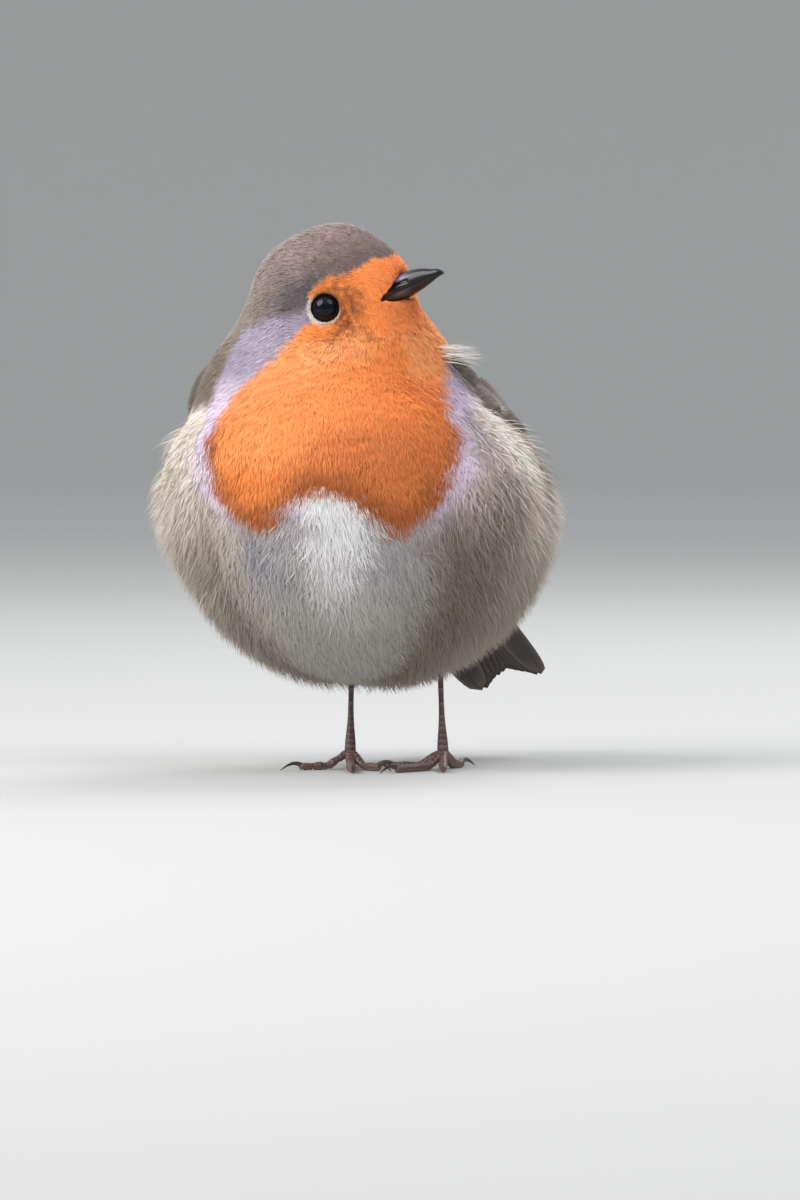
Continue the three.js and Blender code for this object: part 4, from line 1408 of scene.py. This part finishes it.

# %% [markdown]
# ## Legs and feet
#
# A robin's leg is a thin rod of horn, ringed with scutes near the foot and along the top of each toe.
# The rings are a saw-tooth in the radius, painted darker in the grooves, with a painted highlight on their
# edges. The toes lie on the floor, and each ends in a long curved claw that is flattened from side to side.

# %% Sizes of the legs and feet
LEG = {"ankle": 28.0, "joint": 3.6,
       "half_width": [(0, 1.15), (0.1, 1.0), (0.2, 0.72), (0.7, 0.68), (0.9, 0.85), (1, 1.05)],
       "half_depth": [(0, 1.2), (0.1, 1.25), (0.25, 0.95), (0.7, 0.95), (0.9, 1.2), (1, 1.5)]}
FEET = {"right": {"at": (-1.6, 2.5), "lean": (0.2, 1.5),
                  "toes": {"middle": 12, "inner": 44, "outer": -52, "hind": 188}},
        "left": {"at": (16.2, 3.5), "lean": (-1.2, 1.5),
                 "toes": {"middle": -28, "inner": -86, "outer": 10, "hind": 165}}}
TOES = {"middle": (14.5, 5.0, 3, 0.85), "inner": (9.8, 4.4, 2, 0.78),  # length, claw, joints, radius
        "outer": (10.6, 4.4, 4, 0.76), "hind": (8.2, 6.4, 1, 0.92)}
PAD_HEIGHT = 0.75
SCUTES = {"toe": 0.85, "foot": 1.15, "shank": 2.6}  # mm from one to the next
SHANK_FROM, SHANK_TO = LEG["joint"] - 1.1, LEG["ankle"] + 2

leg_skin = material("leg_skin", 0.42, Specular_IOR_Level=0.5)
claw_horn = material("claw_horn", 0.3, Specular_IOR_Level=0.5)


def saw(s, pitch):
    """A scute's profile: rises to its lower edge, then drops."""
    return (s / pitch) % 1.0


def rod(name, shape, stations, around, cover, node):
    """A closed rod. shape(t, u, v) gives points and colours, where u and v run round its section."""
    t, angle = grid(np.linspace(0, 1, stations), circle(around))
    points, colours = shape(t, np.cos(angle), np.sin(angle))
    piece(name, points, grid_faces(stations, around, capped=True),
          "leg_skin" if cover == leg_skin else "horn", cover, node, coat=colours)


def leg_tones(points, groove, pale):
    # pale is a painted highlight on the scutes' edges.
    tone = mix((92, 69, 67), ((150, 126, 117), pale), ((42, 33, 36), groove))
    return tone * (1 + 0.12 * wobble(points, 0.9, 21))[:, None]


# %% Shanks
def shank(foot):
    def shape(t, u, v):
        z = SHANK_FROM + (SHANK_TO - SHANK_FROM) * t
        front = ramp(0.3, -0.5, v)
        ridge = np.where(z < 11, saw(z, SCUTES["foot"]), saw(z, SCUTES["shank"])) * front
        swell = 1 + 0.07 * (ridge - 0.5) * front
        x = foot["at"][0] + foot["lean"][0] * t + u * curve(LEG["half_width"], t) * swell
        y = foot["at"][1] + foot["lean"][1] * t
        y += v * curve(LEG["half_depth"], t) * swell * (1 - 0.12 * np.abs(u))
        points = np.column_stack([x, y, z])
        # The scutes' edges get a painted highlight on the front of the shank.
        return points, leg_tones(points, ramp(0.16, 0.0, ridge) * front * 0.8,
                                 0.5 * ramp(0.4, 1, ridge) * front)
    return shape


# %% Toes and claws
def laid_out(at, angle, s, sideways, height):
    """Points over the floor: s mm from the foot in the toe's direction, not below the floor."""
    x = at[0] + s * sin(angle) + sideways * cos(angle)
    y = at[1] - s * cos(angle) + sideways * sin(angle)
    return np.column_stack([x, y, np.maximum(height, 0)])


def toe(at, angle, length_of, joints, radius, start):
    def shape(t, u, v):
        s = start + (length_of + 0.35 - start) * t
        drop, top = ramp(0, 5.5, s), ramp(-0.2, 0.6, v)
        knuckle = -0.12 * np.cos(2 * pi * joints * t) * np.sin(pi * t)
        round_end = np.sqrt(np.clip(1 - np.maximum(t - 0.95, 0) ** 2 / 0.0026, 0.02, 1))
        r = (radius * (1.12 - 0.35 * t) + knuckle) * round_end
        r *= 1 + 0.09 * (saw(s, SCUTES["toe"]) - 0.5) * top
        height = (LEG["joint"] - 0.6) * (1 - drop) + PAD_HEIGHT * drop
        pads = 0.06 * np.sin(2 * pi * s / 1.1) * ramp(0.1, -0.6, v)
        points = laid_out(at, angle, s, u * r, height + v * r * 1.05 + pads)
        ridge = saw(start + (length_of - start) * t, SCUTES["toe"])
        # The scutes' edges get a painted highlight on top of the toe.
        tone = leg_tones(points, ramp(0.2, 0.0, ridge) * top * 0.85, 0.55 * ramp(0.4, 1, ridge) * top)
        return points, mix(tone, ((150, 132, 112), 0.6 * ramp(0, -0.7, v)))
    return shape


def claw(at, angle, length_of, reach, radius):
    def shape(t, u, v):
        r = radius * 0.62 * (1 - t) ** 0.8 + 0.05
        height = 0.85 + np.sin(pi * t) * (1 - 0.35 * t) - 0.72 * t
        points = laid_out(at, angle, length_of - 0.5 + (reach + 0.5) * t, u * r * 0.72, height + v * r)
        return points, mix((74, 60, 56), ((36, 31, 32), ramp(0.2, 0.9, t)))
    return shape


# %% Both feet
for side, foot in FEET.items():
    rod("shank_scaled_" + side, shank(foot), 150, 20, leg_skin, "shank_" + side)
    for name, (length_of, claw_reach, joints, radius) in TOES.items():
        angle, start = radians(foot["toes"][name]), 0.2 if name == "hind" else -0.4
        rod(f"toe_scaled_{side}_{name}", toe(foot["at"], angle, length_of, joints, radius, start), 110, 18,
            leg_skin, f"toe_{side}_{name}")
        rod(f"claw_curved_{side}_{name}", claw(foot["at"], angle, length_of, claw_reach, radius), 26, 12,
            claw_horn, f"claw_{side}_{name}")

# %% [markdown]
# ## Bristles and wisps
#
# A few fine black bristles stand round the mouth. Long loose barbs cross each other on the belly and
# fringe the flanks, and a pale lick lies over the left shoulder. Each is one thin curved blade. Their
# roots are drawn at random from the skin's own points, so that they follow its lie.

# %% One wisp
def wisp(pile, root, tip, bow, width, tone, spot, sections):
    """A blade from root to tip that bows out sideways, in mm. spot is its root's place on the map."""
    t = np.linspace(0, 1, sections + 1)[:, None]
    across = unit(np.cross(tip - root, bow + 1e-6)) * width / 2
    points, faces, along, _ = blade(root + (tip - root) * t + bow * 4 * t * (1 - t), across * (1 - t**1.5))
    pile.add(points, faces, coat=[tone] * len(points),
             OFBake=np.column_stack([spot[0] + 0.0012 * along, spot[1] + 0 * along]))


# %% Bristles round the mouth
BRISTLES = 16
dice = np.random.default_rng(520)
bristles = Pile()
for i in range(BRISTLES):
    hand = -1 if i % 2 else 1
    up, ahead = dice.uniform(-1.6, 2.0), dice.uniform(12.6, 16.5)
    wide = curve(BILL["half_width"], ahead) + 0.35
    root = np.array([hand * wide, -ahead, -2.7 + up])
    tip = root + np.array([hand * dice.uniform(0.4, 1.4), -dice.uniform(2.2, 4.2), dice.uniform(-1.2, 0.6)])
    wisp(bristles, out_of(HEAD, root), out_of(HEAD, tip), HEAD[1] @ np.array([hand * 0.3, 0, 0.25]), 0.07,
         paint(24, 20, 20), (0.1 + 0.05 * i, 0.5), 5)
bristles.piece("rictal_bristles", "horn", horn)

# %% Where wisps may stand, and how they settle
def settle(points, height):
    """Moves points along the outline's slope until they lie the given height above it, in mm."""
    return points - slope_of(plumage, points) * (plumage(points) - height)[:, None]


def within(low, values, high):
    return (values > low) & (values < high)


def scatter(places, count):
    """Picks places on the skin; returns their numbers and their roots in the coat."""
    chosen = dice.choice(np.flatnonzero(places), min(count, int(places.sum())), replace=False)
    return chosen, skin_points[chosen] + skin_out[chosen] * loft[chosen, None] * 0.6


around, height = marks["round"], marks["height"]
bare = (marks["inside"] < -2.5) & (wing_height < 0.1) & (hidden < 0.1)  # outside the bib and the wings
wisps = Pile()

# %% Wisps on the belly and a fringe on the flanks
CREAM = paint(236, 226, 214)
WISPS = {  # where, how many, reach mm, share standing up, sideways spread, paler, width mm
    "loose": (bare & within(22, height, 60) & (np.abs(around) < 75), 300, (6, 10), 0.10, 0.30, 0.15, 0.12),
    "fringe": (bare & within(36, height, 66) & within(56, np.abs(around), 104), 1500, (4.0, 7.6), 0.85,
               0.30, 0.75, 0.13),
}
for places, count, reaches, standing, spread, paler, width in WISPS.values():
    at, roots = scatter(places, count)
    reach, up = dice.uniform(*reaches, len(at)), standing * dice.random(len(at))
    sideways = np.cross(skin_out[at], skin_lie[at])
    way = unit(skin_lie[at] + sideways * dice.normal(0, spread, (len(at), 1)) + skin_out[at] * up[:, None])
    tips = settle(roots + way * reach[:, None], 0.3 + 0.55 * up * reach)
    tones = mix(coat_colour(tips), (CREAM, paler * dice.random(len(at))))
    bows = skin_out[at] * 0.10 * reach[:, None] + sideways * dice.normal(0, 0.4, (len(at), 1))
    for i, root, tip, bow, tone in zip(at, roots, tips, bows, tones):
        wisp(wisps, root, tip, bow, width, tone, unwrapped[i], 4)

# %% A pale lick over the left shoulder, and a whiter one below the wing's front edge
LICKS = {  # round the body, height, where the tips point, how many, reach mm, colour
    "shoulder": ((64, 84), (77, 80.5), (0.86, 0.30, -0.10), 90, (4.5, 8.0), (214, 208, 200)),
    "below_wing": ((66, 78), (63, 68), (0.72, 0.05, -0.30), 60, (3.0, 5.0), (236, 231, 226)),
}
for (low, high), (bottom, top), points_to, count, reaches, tone in LICKS.values():
    at, roots = scatter(within(low, around, high) & within(bottom, height, top), count)
    way = unit(np.array(points_to) + dice.normal(0, 0.10, (len(at), 3)))
    tips = roots + way * dice.uniform(*reaches, (len(at), 1))
    tips = settle(tips, np.maximum(plumage(tips), 0.5))
    for i, root, tip, shade in zip(at, roots, tips, dice.uniform(0.75, 1.05, len(at))):
        wisp(wisps, root, tip, skin_out[i] * 0.6, 0.16, paint(*tone) * shade, unwrapped[i], 4)
wisps.piece("belly_wisps", "grey_plumage", plumes)

# %% [markdown]
# ## The picture
#
# A plain pale floor that curves up into a wall, one large soft lamp to the upper left, a weaker one to
# the right, one behind and a pale sky. The camera stands a metre and a half away, two degrees above
# level, and sees the whole bird in the upper half of a tall picture.

# %% The floor
def studio_floor(level_radius=2.6, cove=1.2, top=1.9, steps=14, around=96):
    """A round level floor whose rim curves up into a wall, so that every view has a plain backdrop."""
    bend = 0.5 * pi * np.arange(1, steps + 1) / steps
    radial = np.array([0.4, 1.2, level_radius, *(level_radius + cove * np.sin(bend)), level_radius + cove])
    height = np.array([0, 0, 0, *(cove - cove * np.cos(bend)), top])
    j, angle = grid(range(len(radial)), circle(around))
    points = np.column_stack([radial[j] * np.cos(angle), radial[j] * np.sin(angle), height[j]])
    faces = grid_faces(len(radial), around, capped=True)[:-1]  # closed in the middle, open at the top
    made = link(mesh_object("floor", points, [face[::-1] for face in faces]))
    made.data.materials.append(material("pale_floor", 0.9, colour=(0.44, 0.44, 0.43)))
    return made


studio_floor()

# %% Lamps and sky
LAMPS = {  # azimuth, elevation, distance, size, power, colour
    "key": (-46, 36, 1.0, 0.8, 11, (1.0, 0.985, 0.97)),
    "fill": (50, 48, 1.2, 0.8, 4.5, (0.96, 0.97, 1.0)),
    "back_light": (160, 45, 1.0, 0.6, 5, (1.0, 1.0, 1.0)),
}


def towards(azimuth, elevation):
    a, e = radians(azimuth), radians(elevation)
    return Vector((sin(a) * cos(e), -cos(a) * cos(e), sin(e)))


for name, (azimuth, elevation, distance, size, power, colour) in LAMPS.items():
    data = bpy.data.lights.new(name, "AREA")
    data.shape = "DISK"
    data.size, data.energy, data.color = size, power, colour
    lamp = link(bpy.data.objects.new(name, data))
    away = towards(azimuth, elevation)
    lamp.location = Vector((0, 0, 0.055)) + away * distance
    lamp.rotation_euler = away.to_track_quat("Z", "Y").to_euler()

world = bpy.data.worlds.new("pale_sky")
world.use_nodes = True
world.node_tree.nodes["Background"].inputs["Color"].default_value = (0.93, 0.96, 1.0, 1)
world.node_tree.nodes["Background"].inputs["Strength"].default_value = 0.95
bpy.context.scene.world = world

# %% The camera
FIELD = 1200 * 0.19  # mm of the subject that the height of the picture takes in
AZIMUTH, ELEVATION, DISTANCE = 10, 2, 1500  # degrees, degrees, mm
AIM = (8.36, 32.3)  # mm to the right of the drawing frame's origin, and above it
back = towards(AZIMUTH, ELEVATION)
right = Vector((cos(radians(AZIMUTH)), sin(radians(AZIMUTH)), 0))
aim = Vector(SHIFT) + right * AIM[0] + Vector((0, 0, AIM[1]))
view = bpy.data.cameras.new("camera")
view.sensor_width = 36
view.lens = 36 * DISTANCE / FIELD
view.clip_end = 10
camera = link(bpy.data.objects.new("camera", view))
camera.location = (aim + back * DISTANCE) * MM
camera.rotation_euler = back.to_track_quat("Z", "Y").to_euler()
bpy.context.scene.camera = camera
bpy.context.scene.view_settings.view_transform = "Standard"
